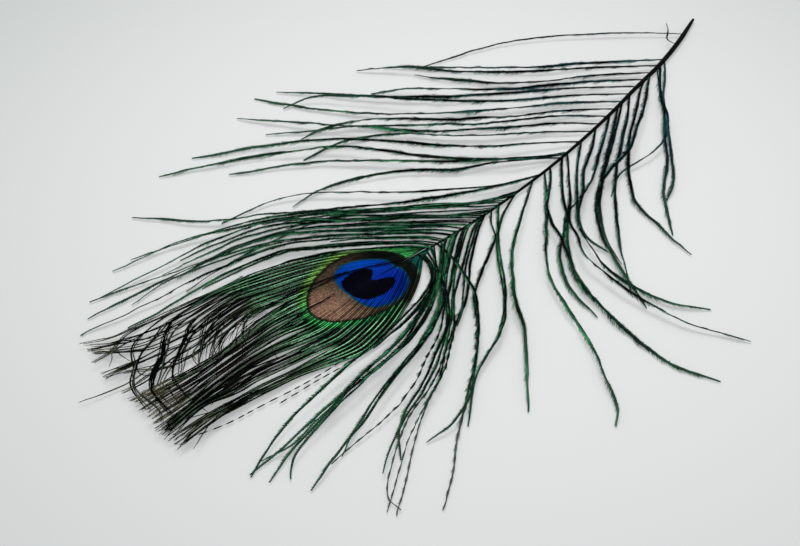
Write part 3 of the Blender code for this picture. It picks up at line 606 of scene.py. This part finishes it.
def loose_barbs(name, part, material, routes, chosen, hands, swell, slim, worn=None, pairs=(), between=()):
    """The loose barbs of the chosen routes, with slimmer ones between the paired routes."""
    rng = part_random(part)
    growth = Growth(len(chosen) + len(pairs) * len(between), "along", "edge", "tint", "stalk", "run", "worn")

    def centre(index):
        root, *points = routes[index]
        return barb_path(root, points, BARB_LIFTS[index % len(BARB_LIFTS)])

    for row, index in enumerate(chosen):
        wear = (worn or {}).get(index, (0.0, 0.0))
        add_barb(growth, centre(index), row, rng, hands, swell, slim.get(index, 1.0), wear)
    row = len(chosen)
    for first, second in pairs:
        lean_in = fade(np.linspace(0, 1, BARB_POINTS + 1), 0, 0.6)[:, None]
        for start, follow in between:
            start, follow = (np.clip(value + rng.normal(0, SHARE_SPREAD), *SHARE_RANGE)
                             for value in (start, follow))
            weight = start * (1 - lean_in) + follow * lean_in
            path = centre(first) * (1 - weight) + centre(second) * weight
            keep = int(len(path) * rng.uniform(*KEPT_RANGE))
            path = path[:keep] + (0, 0, rng.uniform(*HIGHER_RANGE))
            add_barb(growth, path, row, rng, hands, swell, BETWEEN_FULLNESS)
            row += 1
    return growth.build(name, material)


# ---- the vane
VANE_DROOP, VANE_HALF_WIDTH = 0.75, 24
VANE_VALUES = ("along", "edge", "tint", "tan", "egg", "blue", "heart", "stalk", "run")
# How much the barbs of a lock gather into its four bundles, and how far each strays at the lock's rows.
LOCK_GATHER, LOCK_BUNDLES = 0.35, 4
LOCK_SPREAD, ROW_SPREADS = 0.16, (0, 0.5, 1, 1, 1, 2)
TIP_RANGE = (-4.5, 1.2)
# The share of the vane, from the left edge on, that the right side's locks take and its width.
MIDDLE_SHARE, RIGHT_LOCKS_SHARE = 0.5, 0.22
# Extra barbs beside those of the lattice, all but the one that stands out farthest, and in the locks: where
# they start, seen from the first point of their way, and the gap that sets their width.
DOUBLED = LATTICE[:9] + LATTICE[10:]
DOUBLE_START, DOUBLE_GAP = (-0.6, -8), 0.4
LOCK_EXTRA_START, LOCK_EXTRA_GAP, LOCK_EXTRA_PARTS = (-0.5, -9), 0.7, (0.25, 0.5, 0.75)


def vane_height(points):
    """The vane is highest along its middle and droops to its edges."""
    middle = np.interp(points[:, 1], *smooth(VANE_MIDDLE, 40).T[::-1])
    middle = np.where(points[:, 1] < VANE_MIDDLE[0][1], shaft_at(points[:, 1])[0], middle)
    away = np.abs(points[:, 0] - middle) / VANE_HALF_WIDTH
    return SHAFT_HEIGHT - VANE_DROOP * np.minimum(away, 1.2) ** 2


def lock_tail(rng, share, gather=LOCK_GATHER):
    """The way of a barb through its lock, for its share of the vane across, and how tan its tip is."""
    first, last, tan, *rows = next((lock for lock in FAN_LOCKS if share <= lock[1]), FAN_LOCKS[-1])
    across = np.clip((share - first) / (last - first), 0, 1)
    bundle = min(int(LOCK_BUNDLES * across), LOCK_BUNDLES - 1)
    across += gather * ((bundle + 0.5) / LOCK_BUNDLES - across)
    edges = np.array(rows)
    x = edges[:, 0] * (1 - across) + edges[:, 1] * across
    x += rng.normal(0, LOCK_SPREAD, len(rows)) * ROW_SPREADS
    y = np.array(FAN_ROWS, float)
    y[-1] += rng.uniform(*TIP_RANGE)
    return np.column_stack([x, y]), tan


def vane_lines(rng):
    """Every barb of the vane from left to right: its line, the gaps to the next along a way, and how tan."""
    left, middle, right = (smooth(edge, 120) for edge in (VANE_LEFT, VANE_MIDDLE, VANE_RIGHT))
    lines = []

    def add(knots, way, gap, tan):
        lines.append((smooth(knots, 12 * len(knots)), way, gap, tan))

    def add_whole(outer, weight, spacing, tail, tan):
        base = outer * (1 - weight) + middle * weight
        keep = base[:, 1] < FAN_START
        gap = np.linalg.norm(outer - middle, axis=1) * spacing
        add(np.vstack([base[keep][::12], tail]), lengths(base), gap, tan)

    def add_extra(start, knots, gap, tan):
        add(np.vstack([start, knots]), np.array([0.0, 100.0]), np.full(2, gap), tan)

    for index in range(LEFT_COUNT):
        weight = index / (LEFT_COUNT - 1)
        add_whole(left, weight, 1 / (LEFT_COUNT - 1), *lock_tail(rng, weight * MIDDLE_SHARE))
    count = LOCK_RIGHT_COUNT + len(LATTICE)
    for index in range(count):
        if index < LOCK_RIGHT_COUNT:
            share = MIDDLE_SHARE + RIGHT_LOCKS_SHARE * (index + 0.5) / LOCK_RIGHT_COUNT
            tail, tan = lock_tail(rng, share)
        else:
            strand = index - LOCK_RIGHT_COUNT
            tail = np.array(LATTICE[strand], float)
            tan = 0.65 * (strand % 2) * (len(tail) < 10)
        add_whole(right, 1 - (index + 1) / count, 1 / count, tail, tan)
    for knots in DOUBLED:
        knots = np.array(knots, float)
        aside = np.linspace(0.35, rng.choice((-1, 1)), len(knots)) * rng.uniform(0.6, 1.2)
        shift = np.column_stack([aside, rng.normal(0, 0.3, len(knots))])
        add_extra(knots[0] + DOUBLE_START, knots + shift, DOUBLE_GAP, 0.5 * ((len(knots) + 1) % 2))
    for first, last, *_ in FAN_LOCKS:
        for part in LOCK_EXTRA_PARTS:
            tail, tan = lock_tail(rng, first + (last - first) * (part + rng.normal(0, 0.03)), 0.0)
            add_extra(tail[0] + LOCK_EXTRA_START, tail, LOCK_EXTRA_GAP, tan)
    return lines


VANE_STEP = 0.9
# Along the fan (y): where barbs come loose, where they narrow to LOOSE_HALF_WIDTH, where tips turn tan.
LOOSE_SPAN, NARROW_SPAN, TAN_SPAN = (95, 125), (93, 107), (131, 141)
LOOSE_HALF_WIDTH, THINNEST = 0.34, ((112, 132), (1.0, 0.8))
# Loose barbs stray to the side and up, every other one higher: the way between bends, the size.
STRAY_WANDER, LIFTED_WANDER, LIFT, EVERY_OTHER_LIFT = (11.0, 0.35), (18.0, 0.5), 0.25, 1.1
# The barbs' shades: of most, and of the dark ones that come every second or third.
SHADE_RANGE, DARK_STEPS, DARK_SHADE = (0.04, 0.22), (2, 2, 3), -0.32
VANE_TINT, VANE_TINT_SPREAD, VANE_TINT_WANDER = 0.5, 0.06, (9.0, 0.12)
TAN_SHARES = (1.0, 0.3, 0.65)
MARK_SPREAD = 0.1
# The barbules' length along the fan (y), and what those on the lattice have of it.
FAN_REACH, LATTICE_REACH = ((90, 104, 128, 150), (1.0, 0.85, 1.1, 0.9)), 0.75
FAN_BARBULES = {"spacing": 0.3, "angle": 23.0, "thick": 0.34}


def make_vane(material):
    """The eye's vane with its fan, as ribbons, and the barbules of the fan."""
    rng = part_random(3)
    outlines = [closed(outline, 8) for outline in (EGG, BLUE, HEART)]
    lines = vane_lines(rng)
    shades = rng.uniform(*SHADE_RANGE, len(lines))
    dark = np.cumsum(rng.choice(DARK_STEPS, len(lines)))
    shades[dark[dark < len(lines)]] = DARK_SHADE
    ribbons, hairs = Growth(len(lines), *VANE_VALUES), Growth(len(lines), *VANE_VALUES)
    for row, (flat, base_way, base_gap, tan) in enumerate(lines):
        path = evenly(np.column_stack([flat, vane_height(flat)]), VANE_STEP)
        way = lengths(path)
        gap = np.interp(way, base_way, base_gap)
        y = path[:, 1]
        loose = fade(y, *LOOSE_SPAN)
        _, side, _ = frames(path)
        path = path + side * (wander(rng, way, *STRAY_WANDER) * loose)[:, None]
        path[:, 2] += (LIFT + EVERY_OTHER_LIFT * (row % 2) + np.abs(wander(rng, way, *LIFTED_WANDER))) * loose
        marks = [inside(outline, path[:, :2]) + rng.normal(0, MARK_SPREAD) for outline in outlines]
        within = np.maximum(fade(marks[0], -3.5, -1), fade(y, 48, 44))
        width = gap * 0.5 * (0.95 + 0.09 * within)
        width = width + (np.minimum(width, LOOSE_HALF_WIDTH) - width) * fade(y, *NARROW_SPAN)
        width = width * np.interp(y, *THINNEST) * taper(way, tip=7, least=0.2, root=2, first=0.35)
        tint = VANE_TINT + shades[row] + rng.normal(0, VANE_TINT_SPREAD) + wander(rng, way, *VANE_TINT_WANDER)
        tan = tan * TAN_SHARES[row % 3] * fade(y, *TAN_SPAN)
        values = dict(zip(("egg", "blue", "heart"), marks), tint=tint, tan=tan)
        path = settled(path)
        height = np.minimum(0.16, width * 0.5)
        add_tube(ribbons, path, width, height, row, bands=WHOLE_ROW, stalk=1.0, run=way, **values)
        outside = fade(marks[0], -2.5, -5.5) * fade(y, 46, 56)
        first = int(np.argmax(outside > 0))
        reach = outside * np.interp(y, *FAN_REACH)
        reach = reach * (1.0 if row < LEFT_COUNT + LOCK_RIGHT_COUNT else LATTICE_REACH)
        values = {name: value[first:] for name, value in values.items()}
        add_barbules(hairs, path[first:], row, rng, reach[first:], **FAN_BARBULES, bands=WHOLE_ROW, **values)
    return ribbons.build("eye_vane", material, round_faces=True), hairs.build("fan_barbules", material)


# ---- the loose strands
STRAND_STEP, DASHED_STEP = 0.9, 0.35
# The strands' heights at their ends, and how high those over the eye lie above the vane.
STRAND_HEIGHT, DASHED_HEIGHT, CROSSING_HEIGHT, OVER_VANE = 1.9, 0.6, 1.4, 0.6
# A dash with its gap.
DASHED_LENGTH = 4.0
HAIR_LEAN, HAIR_THICKNESS = 24.0, 0.3
# Crossing strands: where they start and where they may turn (y), and their way from the turn on.
CROSSING_START, CROSSING_TURN = 94, (97, 110)
CROSSING_ARC = ((0, 0), (-1.2, 5), (-3.8, 9.5), (-7.4, 12.8), (-11, 15))


def crossing_knots(rng, start):
    """A strand that leaves the vane at start (x), runs straight on and then turns to the left."""
    turn = rng.uniform(*CROSSING_TURN)
    x = start + 0.1 * (turn - CROSSING_TURN[0]) + rng.normal(0, 0.3)
    bend, drop = rng.uniform(0.8, 1.3, 2)
    arc = CROSSING_ARC[:rng.integers(4, 6)]
    return [(start, CROSSING_START), *((x + bend * right, turn + drop * up) for right, up in arc)]


def strand_path(flat, low, arch=0.0, step=STRAND_STEP):
    """The path of a strand that looks like flat, arched up from a low height at its ends, and its lengths."""
    height = low + arch * np.sin(np.pi * np.linspace(0, 1, len(flat)))
    path = settled(evenly(np.column_stack([flat, height]), step))
    return path, lengths(path)


def make_strands(material):
    """The loose strands over the fan and the eye."""
    rng = part_random(4)
    rows = np.cumsum([len(STRANDS), len(DASHED), len(EYE_STRANDS), CROSSING_COUNT])
    growth = Growth(rows[-1], "along", "edge", "tint")

    def add_hairs(path, row, spacing, reach, tint):
        add_barbules(growth, path, row, rng, reach, spacing, HAIR_LEAN, HAIR_THICKNESS, tint=tint)

    for row, (half, tan, *knots) in enumerate(STRANDS):
        path, way = strand_path(smooth(knots, 60), STRAND_HEIGHT, 0.9 * rng.uniform(0.6, 1.3))
        thin = taper(way, tip=6, least=0.25, root=5, first=0.3)
        tan = tan * np.clip(2 * way / way[-1] - 0.7, 0, 1)
        add_tube(growth, path, half * thin, half * 0.6 * thin, row, tint=tan)
        add_hairs(path, row, 0.32, (half + 0.45) * thin + 0.15, tan)
    for row, knots in enumerate(DASHED, rows[0]):
        path, way = strand_path(smooth(knots, 80), DASHED_HEIGHT, step=DASHED_STEP)
        turns = 2 * np.pi * (way + wander(rng, way, 6.0, 0.5)) / DASHED_LENGTH
        dash = np.clip(0.9 + 1.6 * np.sin(turns), 0, 1)
        add_tube(growth, path, 0.05 + 0.2 * dash, 0.04 + 0.1 * dash, row, tint=0.06)
    for row, (half, *knots) in enumerate(EYE_STRANDS, rows[1]):
        flat = smooth(knots, 60)
        path, way = strand_path(flat, vane_height(flat) + OVER_VANE)
        thin = taper(way, tip=4, least=0.4, root=9, first=0.35)
        add_tube(growth, path, half * thin, half * 0.5 * thin, row, tint=0.0)
    for row, start in enumerate(np.linspace(*CROSSING_RANGE, CROSSING_COUNT), rows[2]):
        path, way = strand_path(smooth(crossing_knots(rng, start), 60), CROSSING_HEIGHT,
                                rng.uniform(0.5, 1.2))
        thin = taper(way, tip=6, least=0.3, root=5, first=0.3)
        tan = rng.choice((0.0, 0.0, 0.2, 0.45))
        add_tube(growth, path, 0.13 * thin, 0.08 * thin, row, tint=tan)
        add_hairs(path, row, 0.4, 0.35 * thin + 0.1, tan)
    return growth.build("strands", material)


# ---- materials
NEAR_BLACK, TAN, DARK_BRONZE = (0.001, 0.002, 0.002), (0.3, 0.26, 0.15), (0.014, 0.018, 0.011)
# The dull tones of the underside: loose barbs and strands, and the vane.
DULL_BACK, VANE_BACK = (0.03, 0.024, 0.018), (0.045, 0.034, 0.026)
# Ramps over the tint: where each colour stands and the colour.
HERL_GREEN = ((0.32, (0.0005, 0.002, 0.002)), (0.48, (0.0015, 0.008, 0.007)), (0.58, (0.004, 0.042, 0.025)),
              (0.7, (0.018, 0.18, 0.08)), (0.95, (0.12, 0.52, 0.22)))
HERL_DUSK = ((0.32, (0.0005, 0.0015, 0.0015)), (0.45, (0.002, 0.01, 0.012)), (0.54, (0.008, 0.05, 0.055)),
             (0.8, (0.045, 0.18, 0.19)))
VANE_GREEN = ((0.25, (0.0005, 0.002, 0.001)), (0.42, (0.005, 0.026, 0.012)), (0.56, (0.045, 0.19, 0.075)),
              (0.8, (0.3, 0.68, 0.36)))
FAN_DARK = ((0.3, (0.0005, 0.001, 0.001)), (0.45, (0.004, 0.01, 0.006)), (0.58, (0.025, 0.05, 0.028)),
            (0.74, (0.13, 0.18, 0.12)))
FAN_RUST = ((0.3, (0.004, 0.002, 0.002)), (0.75, (0.07, 0.035, 0.035)))
EYE_CONTRAST = ((0.2, (0.6, 0.6, 0.6)), (0.5, (0.95, 0.95, 0.95)), (0.8, (1.35, 1.35, 1.35)))
CHEVRON_LENGTH = 0.34


def wire(socket, value):
    """Link a worked-out value to a socket, or set a number or a colour on it."""
    if isinstance(value, Value):
        value.tree.links.new(value.output, socket)
    else:
        socket.default_value = (*value, 1) if isinstance(value, tuple) else value


def add_node(tree, kind, inputs=(), output=0, **settings):
    """The value of a new node with its settings and inputs."""
    node = tree.nodes.new("ShaderNode" + kind)
    for name, value in settings.items():
        setattr(node, name, value)
    for name, value in dict(inputs).items():
        wire(node.inputs[name], value)
    return Value(tree, node.outputs[output])


def mix(tree, factor, first, second, mode="MIX"):
    inputs = {"Factor": factor, 6: first, 7: second}
    return add_node(tree, "Mix", inputs, 2, data_type="RGBA", blend_type=mode)


class Value:
    """A number or a colour that a material works out. What is done with it adds a node."""

    def __init__(self, tree, output):
        self.tree, self.output = tree, output

    def calculate(self, operation, first, second=0.0):
        return add_node(self.tree, "Math", {0: first, 1: second}, operation=operation)

    def __add__(self, other):
        return self.calculate("ADD", self, other)

    def __sub__(self, other):
        return self.calculate("SUBTRACT", self, other)

    def __mul__(self, other):
        return self.calculate("MULTIPLY", self, other)

    def rest(self):
        """What it leaves of one."""
        return self.calculate("SUBTRACT", 1.0, self)

    def span(self, low, high, top=1.0):
        """0 where it is low, top where it is high and smooth between; high may be the lower number."""
        inputs = {"Value": self, "From Min": low, "From Max": high, "To Max": top}
        return add_node(self.tree, "MapRange", inputs, interpolation_type="SMOOTHSTEP")

    def ramp(self, stops):
        """A colour for it from the stops, each a place and the colour there."""
        node = self.tree.nodes.new("ShaderNodeValToRGB")
        elements = node.color_ramp.elements
        while len(elements) < len(stops):
            elements.new(0.5)
        for element, (place, colour) in zip(elements, stops):
            element.position = place
            element.color = (*colour, 1)
        wire(node.inputs["Fac"], self)
        return Value(self.tree, node.outputs["Color"])

    def blend(self, first, second):
        """The second colour over the first, by this factor."""
        return mix(self.tree, self, first, second)

    def coats(self, *layers):
        """This colour under others, each by a factor."""
        colour = self
        for factor, layer in layers:
            colour = factor.blend(colour, layer)
        return colour


class Look:
    """A material in the making. Its shader's inputs are named with _ for a space."""

    def __init__(self, name, **inputs):
        self.material = bpy.data.materials.new(name)
        self.material.use_nodes = True
        self.tree = self.material.node_tree
        self.shader = self.tree.nodes["Principled BSDF"]
        for key, value in inputs.items():
            wire(self.shader.inputs[key.replace("_", " ")], value)

    def place(self):
        """The place on the object, in metres in its own space."""
        return add_node(self.tree, "TexCoord", output="Object")

    def xy(self):
        """The feather's x and y in the drawing."""
        for index in (0, 1):
            yield add_node(self.tree, "SeparateXYZ", {0: self.place()}, index) * (1 / MM) + ORIGIN[index]

    def mark(self, name):
        return add_node(self.tree, "Attribute", output="Fac", attribute_name=name)

    def noise(self, scale, detail=2.0, stretch=(1, 1, 1)):
        """Noise over the feather in its own space, with about scale bumps a millimetre."""
        fit = add_node(self.tree, "Mapping", {"Vector": self.place(), "Scale": [k / MM for k in stretch]})
        return add_node(self.tree, "TexNoise", {"Vector": fit, "Scale": scale, "Detail": detail}, "Fac")

    def hatch(self, colour, depth):
        """The colour with the chevrons of barbules that lie along a barb, darker by depth between them."""
        turns = (self.mark("run") - self.mark("edge") * 0.36) * (2 * math.pi / CHEVRON_LENGTH)
        wave = turns.calculate("SINE", turns).span(-0.9, 0.5)
        return (wave * self.mark("stalk") * depth).blend(colour, (0.0, 0.0, 0.0))

    def finish(self, colour, back, keep):
        """The material with the colour on top and a dull back tone below, where keep of the colour shows."""
        dull = mix(self.tree, keep, back, colour)
        wire(self.shader.inputs["Base Color"], self.mark("under").blend(colour, dull))
        return self.material


def herl_material():
    look = Look("herl", Roughness=0.45, Metallic=0.4, Specular_IOR_Level=0.02)
    _, y = look.xy()
    stalk, edge = look.mark("stalk"), look.mark("edge")
    # Painted highlight: a stalk's tint is raised along its ridge, where the light would catch it.
    tint = look.mark("tint") + stalk * edge.span(0.75, 0.1, 0.2)
    colour = y.span(-75, 25).blend(tint.ramp(HERL_DUSK), tint.ramp(HERL_GREEN))
    colour = look.hatch(colour, 0.75).coats(
        (look.noise(0.05).span(0.58, 0.72, 0.4), (0.014, 0.01, 0.006)),
        ((edge * stalk.rest()).span(0.3, 0.8, 0.85), (0.003, 0.011, 0.01)),
        (look.mark("along").span(0.6, 1.0, 0.65), (0.05, 0.125, 0.08)),
        (look.mark("worn") * 0.8, (0.12, 0.135, 0.125)))
    return look.finish(colour, DULL_BACK, 0.3)


def vane_material():
    look = Look("vane", Roughness=0.5, Metallic=0.3, Specular_IOR_Level=0.02)
    x, y = look.xy()
    tint, edge = look.mark("tint"), look.mark("edge")
    egg, blue, heart = (look.mark(name) for name in ("egg", "blue", "heart"))
    patch = x.span(-24, -19) * x.span(-6, -11) * y.span(106, 114) * y.span(130, 122)
    fan = (patch * look.noise(0.3).span(0.4, 0.6, 0.7)).blend(tint.ramp(FAN_DARK), tint.ramp(FAN_RUST))
    wedge = y.span(32, 44).blend((0.006, 0.05, 0.025), (0.07, 0.42, 0.12))
    wedge = x.span(-17.0, -18.2).blend(wedge, (0.008, 0.11, 0.085))
    ring = x.span(-14, 0).blend((0.08, 0.62, 0.15), (0.3, 0.62, 0.13))
    ring = x.span(-22, -29).blend(ring, (0.04, 0.26, 0.085))
    shaded = x.span(-16.5, -19) * y.span(67, 57)
    band = egg.span(-3.6, -1.4) * (tint.span(0.2, 0.55) + 0.35) * shaded.rest()
    bronze = y.span(67, 80).blend((0.1, 0.08, 0.044), (0.44, 0.245, 0.165)).coats(
        (x.span(-12, -2), (0.105, 0.072, 0.043)), (y.span(63, 50), (0.006, 0.01, 0.006)))
    colour = tint.ramp(VANE_GREEN).coats(
        (y.span(87, 107), fan), (look.mark("tan"), TAN), (y.span(48, 44), wedge),
        (shaded * y.span(45, 47), DARK_BRONZE), (band, ring), (egg.span(-0.5, 0.1), DARK_BRONZE),
        (egg.span(0.1, 1.6), bronze))
    weave = look.noise(1.3).span(0.32, 0.68).blend((0.62, 0.62, 0.62), (1.3, 1.3, 1.3))
    colour = mix(look.tree, 1.0, colour, weave, "MULTIPLY")
    deep = x.span(-18, -5).blend((0.001, 0.03, 0.38), (0.0005, 0.1, 0.62))
    deep = y.span(56, 68).blend(deep, (0.001, 0.06, 0.52))
    colour = colour.coats((blue.span(-0.35, 0.15), (0.001, 0.09, 0.18)), (blue.span(0.1, 1.2), deep),
                          (heart.span(-0.3, 0.3), (0.0003, 0.0008, 0.005)))
    contrast = egg.span(1.5, -1.5, 0.55) + 0.45
    colour = mix(look.tree, contrast, colour, tint.ramp(EYE_CONTRAST), "MULTIPLY")
    # Painted shade in the gaps between barbs: ribbons darken to near black towards their edges, most outside
    # the egg and towards the drawing's left. Dark barbs, a tone of their own, darken further towards the
    # left.
    gap_shade_and_dark_barbs = (edge.span(0.15, 0.85) * egg.span(0.5, -3.0, 0.95) + edge.span(0.4, 1.0, 0.75) * x.span(-10, -26)
            + edge.span(0.5, 1.0, 0.3) + tint.span(0.34, 0.16, 0.6) * x.span(-8, -24))
    return look.finish(look.hatch(gap_shade_and_dark_barbs.blend(colour, NEAR_BLACK), 0.3), VANE_BACK, 0.16)


def strand_material():
    look = Look("strand", Roughness=0.5, Metallic=0.0, Specular_IOR_Level=0.02)
    colour = look.mark("tint").ramp(((0.0, NEAR_BLACK), (0.3, (0.02, 0.02, 0.014)), (1.0, TAN)))
    return look.finish(colour, DULL_BACK, 0.4)


def shaft_material():
    look = Look("shaft", Roughness=0.45, Metallic=0.0, Specular_IOR_Level=0.03)
    streaks = look.noise(0.8, 3.0, (1, 0.12, 1))
    colour = streaks.ramp(((0.3, (0.001, 0.0015, 0.0015)), (0.6, (0.003, 0.004, 0.004)),
                           (0.8, (0.009, 0.009, 0.007))))
    colour = look.mark("along").span(-0.5, -0.9).blend(colour, (0.16, 0.13, 0.09))
    pale = streaks.ramp(((0.3, (0.16, 0.125, 0.085)), (0.7, (0.3, 0.25, 0.18))))
    return look.finish(colour, pale, 0.0)


# ---- the shaft
SHAFT_SIDES = 12
SHAFT_RADII = ((0, 0.55), (0.015, 0.75), (0.06, 1.02), (0.14, 1.02), (0.3, 0.8), (0.5, 0.62), (0.66, 0.52),
               (0.8, 0.44), (0.9, 0.34), (0.96, 0.24), (1, 0.1))


def make_shaft(material):
    """The tapering shaft, cut square at its quill end. The cut faces are marked with -1 along it."""
    growth = Growth(1, "along")
    flat = smooth(SHAFT_LINE, 160)
    path = settled(np.column_stack([flat, np.full(len(flat), SHAFT_HEIGHT)]))
    part = np.linspace(0, 1, len(path))
    radius = np.interp(part, *np.array(SHAFT_RADII).T)[:, None, None]
    _, side, normal = frames(path)
    count, sides = len(path), SHAFT_SIDES
    angle = np.linspace(0, 2 * np.pi, sides, endpoint=False)
    rings = (path[:, None] + side[:, None] * (np.cos(angle)[None, :, None] * radius)
             + normal[:, None] * (np.sin(angle)[None, :, None] * radius))
    ring = np.arange(sides)
    under = np.tile((ring > sides // 2) & (ring < sides - 1), count - 1)
    around = np.tile(np.abs(1 - angle / np.pi), count)
    growth.add(rings.reshape(-1, 3), tube_walls(count, sides), under, np.repeat(0.04 + 0.96 * part, sides),
               around, 0, WHOLE_ROW, along=np.repeat(part, sides))
    for end, turn, start in ((0, -1, 0.01), (count - 1, 1, 0.03)):
        cap = np.column_stack([ring, np.roll(ring, turn), np.full(sides, sides)])
        across = np.append(0.5 + 0.45 * np.sin(angle), 0.5)
        along = start + 0.008 * np.append(np.cos(angle), 0)
        growth.add(np.vstack([rings[end], path[end]]), cap, np.zeros(sides, bool), along, across, 0,
                   WHOLE_ROW, along=-1.0)
    return growth.build("shaft", material, round_faces=True)


# ---- the stage
FLOOR_SIZE, FLOOR_DROP = 14, -0.0003
FLOOR_COLOUR, FLOOR_SHADED_EDGE = (0.565, 0.575, 0.56), (0.245, 0.262, 0.258)
FLOOR_GLOW = (0.97, 1.0, 0.99)
# Painted light falloff: the floor's middle is paler, as if lit there, out to this far, and it has its darker
# edge colour from there on (metres).
FLOOR_LIGHT_FALLOFF = (0.04, 0.36)
SKY_COLOUR, SKY_STRENGTH = (0.95, 0.97, 1.0), 0.5
# Lights: name, place and size in metres, power in watts.
LIGHTS = (("key", (0.35, -0.25, 0.9), 0.45, 3.9), ("fill", (-0.6, 0.5, 0.8), 0.8, 1.6))
CAMERA_PLACE = SEEN_FROM
CAMERA_AIM = (-20.0, 49.8, 0.0)
LENS, SENSOR_WIDTH = 55.0, 36


def in_frame(point):
    return Vector((point[0] - ORIGIN[0], point[1] - ORIGIN[1], point[2])) * MM


def place_looking(name, data, place):
    """A light or camera in the scene that looks at the feather."""
    thing = bpy.data.objects.new(name, data)
    thing.location = place
    thing.rotation_euler = (in_frame(CAMERA_AIM) - thing.location).to_track_quat("-Z", "Y").to_euler()
    bpy.context.scene.collection.objects.link(thing)
    return thing


def floor_material():
    look = Look("floor", Roughness=0.7, Specular_IOR_Level=0.2, Emission_Color=FLOOR_GLOW,
                Emission_Strength=0.3)
    reach = add_node(look.tree, "VectorMath", {0: look.place()}, "Value", operation="LENGTH")
    # Painted light falloff: the floor darkens from its lit middle towards its edge.
    wire(look.shader.inputs["Base Color"], reach.span(*FLOOR_LIGHT_FALLOFF).blend(FLOOR_COLOUR, FLOOR_SHADED_EDGE))
    return look.material


def set_stage():
    scene = bpy.context.scene
    bpy.ops.mesh.primitive_plane_add(size=FLOOR_SIZE, location=(0, 0, FLOOR_DROP))
    floor = bpy.context.object
    floor.name = "floor"
    floor.data.materials.append(floor_material())
    world = scene.world or bpy.data.worlds.new("world")
    scene.world = world
    world.use_nodes = True
    background = world.node_tree.nodes["Background"]
    background.inputs["Color"].default_value = (*SKY_COLOUR, 1)
    background.inputs["Strength"].default_value = SKY_STRENGTH
    for name, place, size, power in LIGHTS:
        data = bpy.data.lights.new(name, "AREA")
        data.size, data.energy = size, power
        place_looking(name, data, place)
    data = bpy.data.cameras.new("camera")
    data.lens, data.sensor_width = LENS, SENSOR_WIDTH
    scene.camera = place_looking("camera", data, in_frame(CAMERA_PLACE))
    scene.view_settings.view_transform = "Standard"


def main():
    herl = herl_material()
    pieces = [make_shaft(shaft_material()), *make_vane(vane_material()), make_strands(strand_material()),
              loose_barbs("left_barbs_low", 1, herl, LEFT_BARBS, range(17), LEFT_HANDS, LOW_SWELL, SLIM_LEFT,
                          WORN_LEFT),
              loose_barbs("left_barbs_high", 2, herl, LEFT_BARBS, range(17, 33), LEFT_HANDS, HIGH_SWELL,
                          SLIM_LEFT, WORN_LEFT, LEFT_PAIRS, LEFT_BETWEEN),
              loose_barbs("right_barbs_low", 5, herl, RIGHT_BARBS, range(18), RIGHT_HANDS, LOW_SWELL,
                          SLIM_RIGHT),
              loose_barbs("right_barbs_high", 6, herl, RIGHT_BARBS, range(18, 30), RIGHT_HANDS, HIGH_SWELL,
                          SLIM_RIGHT, None, RIGHT_PAIRS, RIGHT_BETWEEN)]
    for piece in pieces:
        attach(piece, "root")
        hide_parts("feather")
    set_stage()


main()
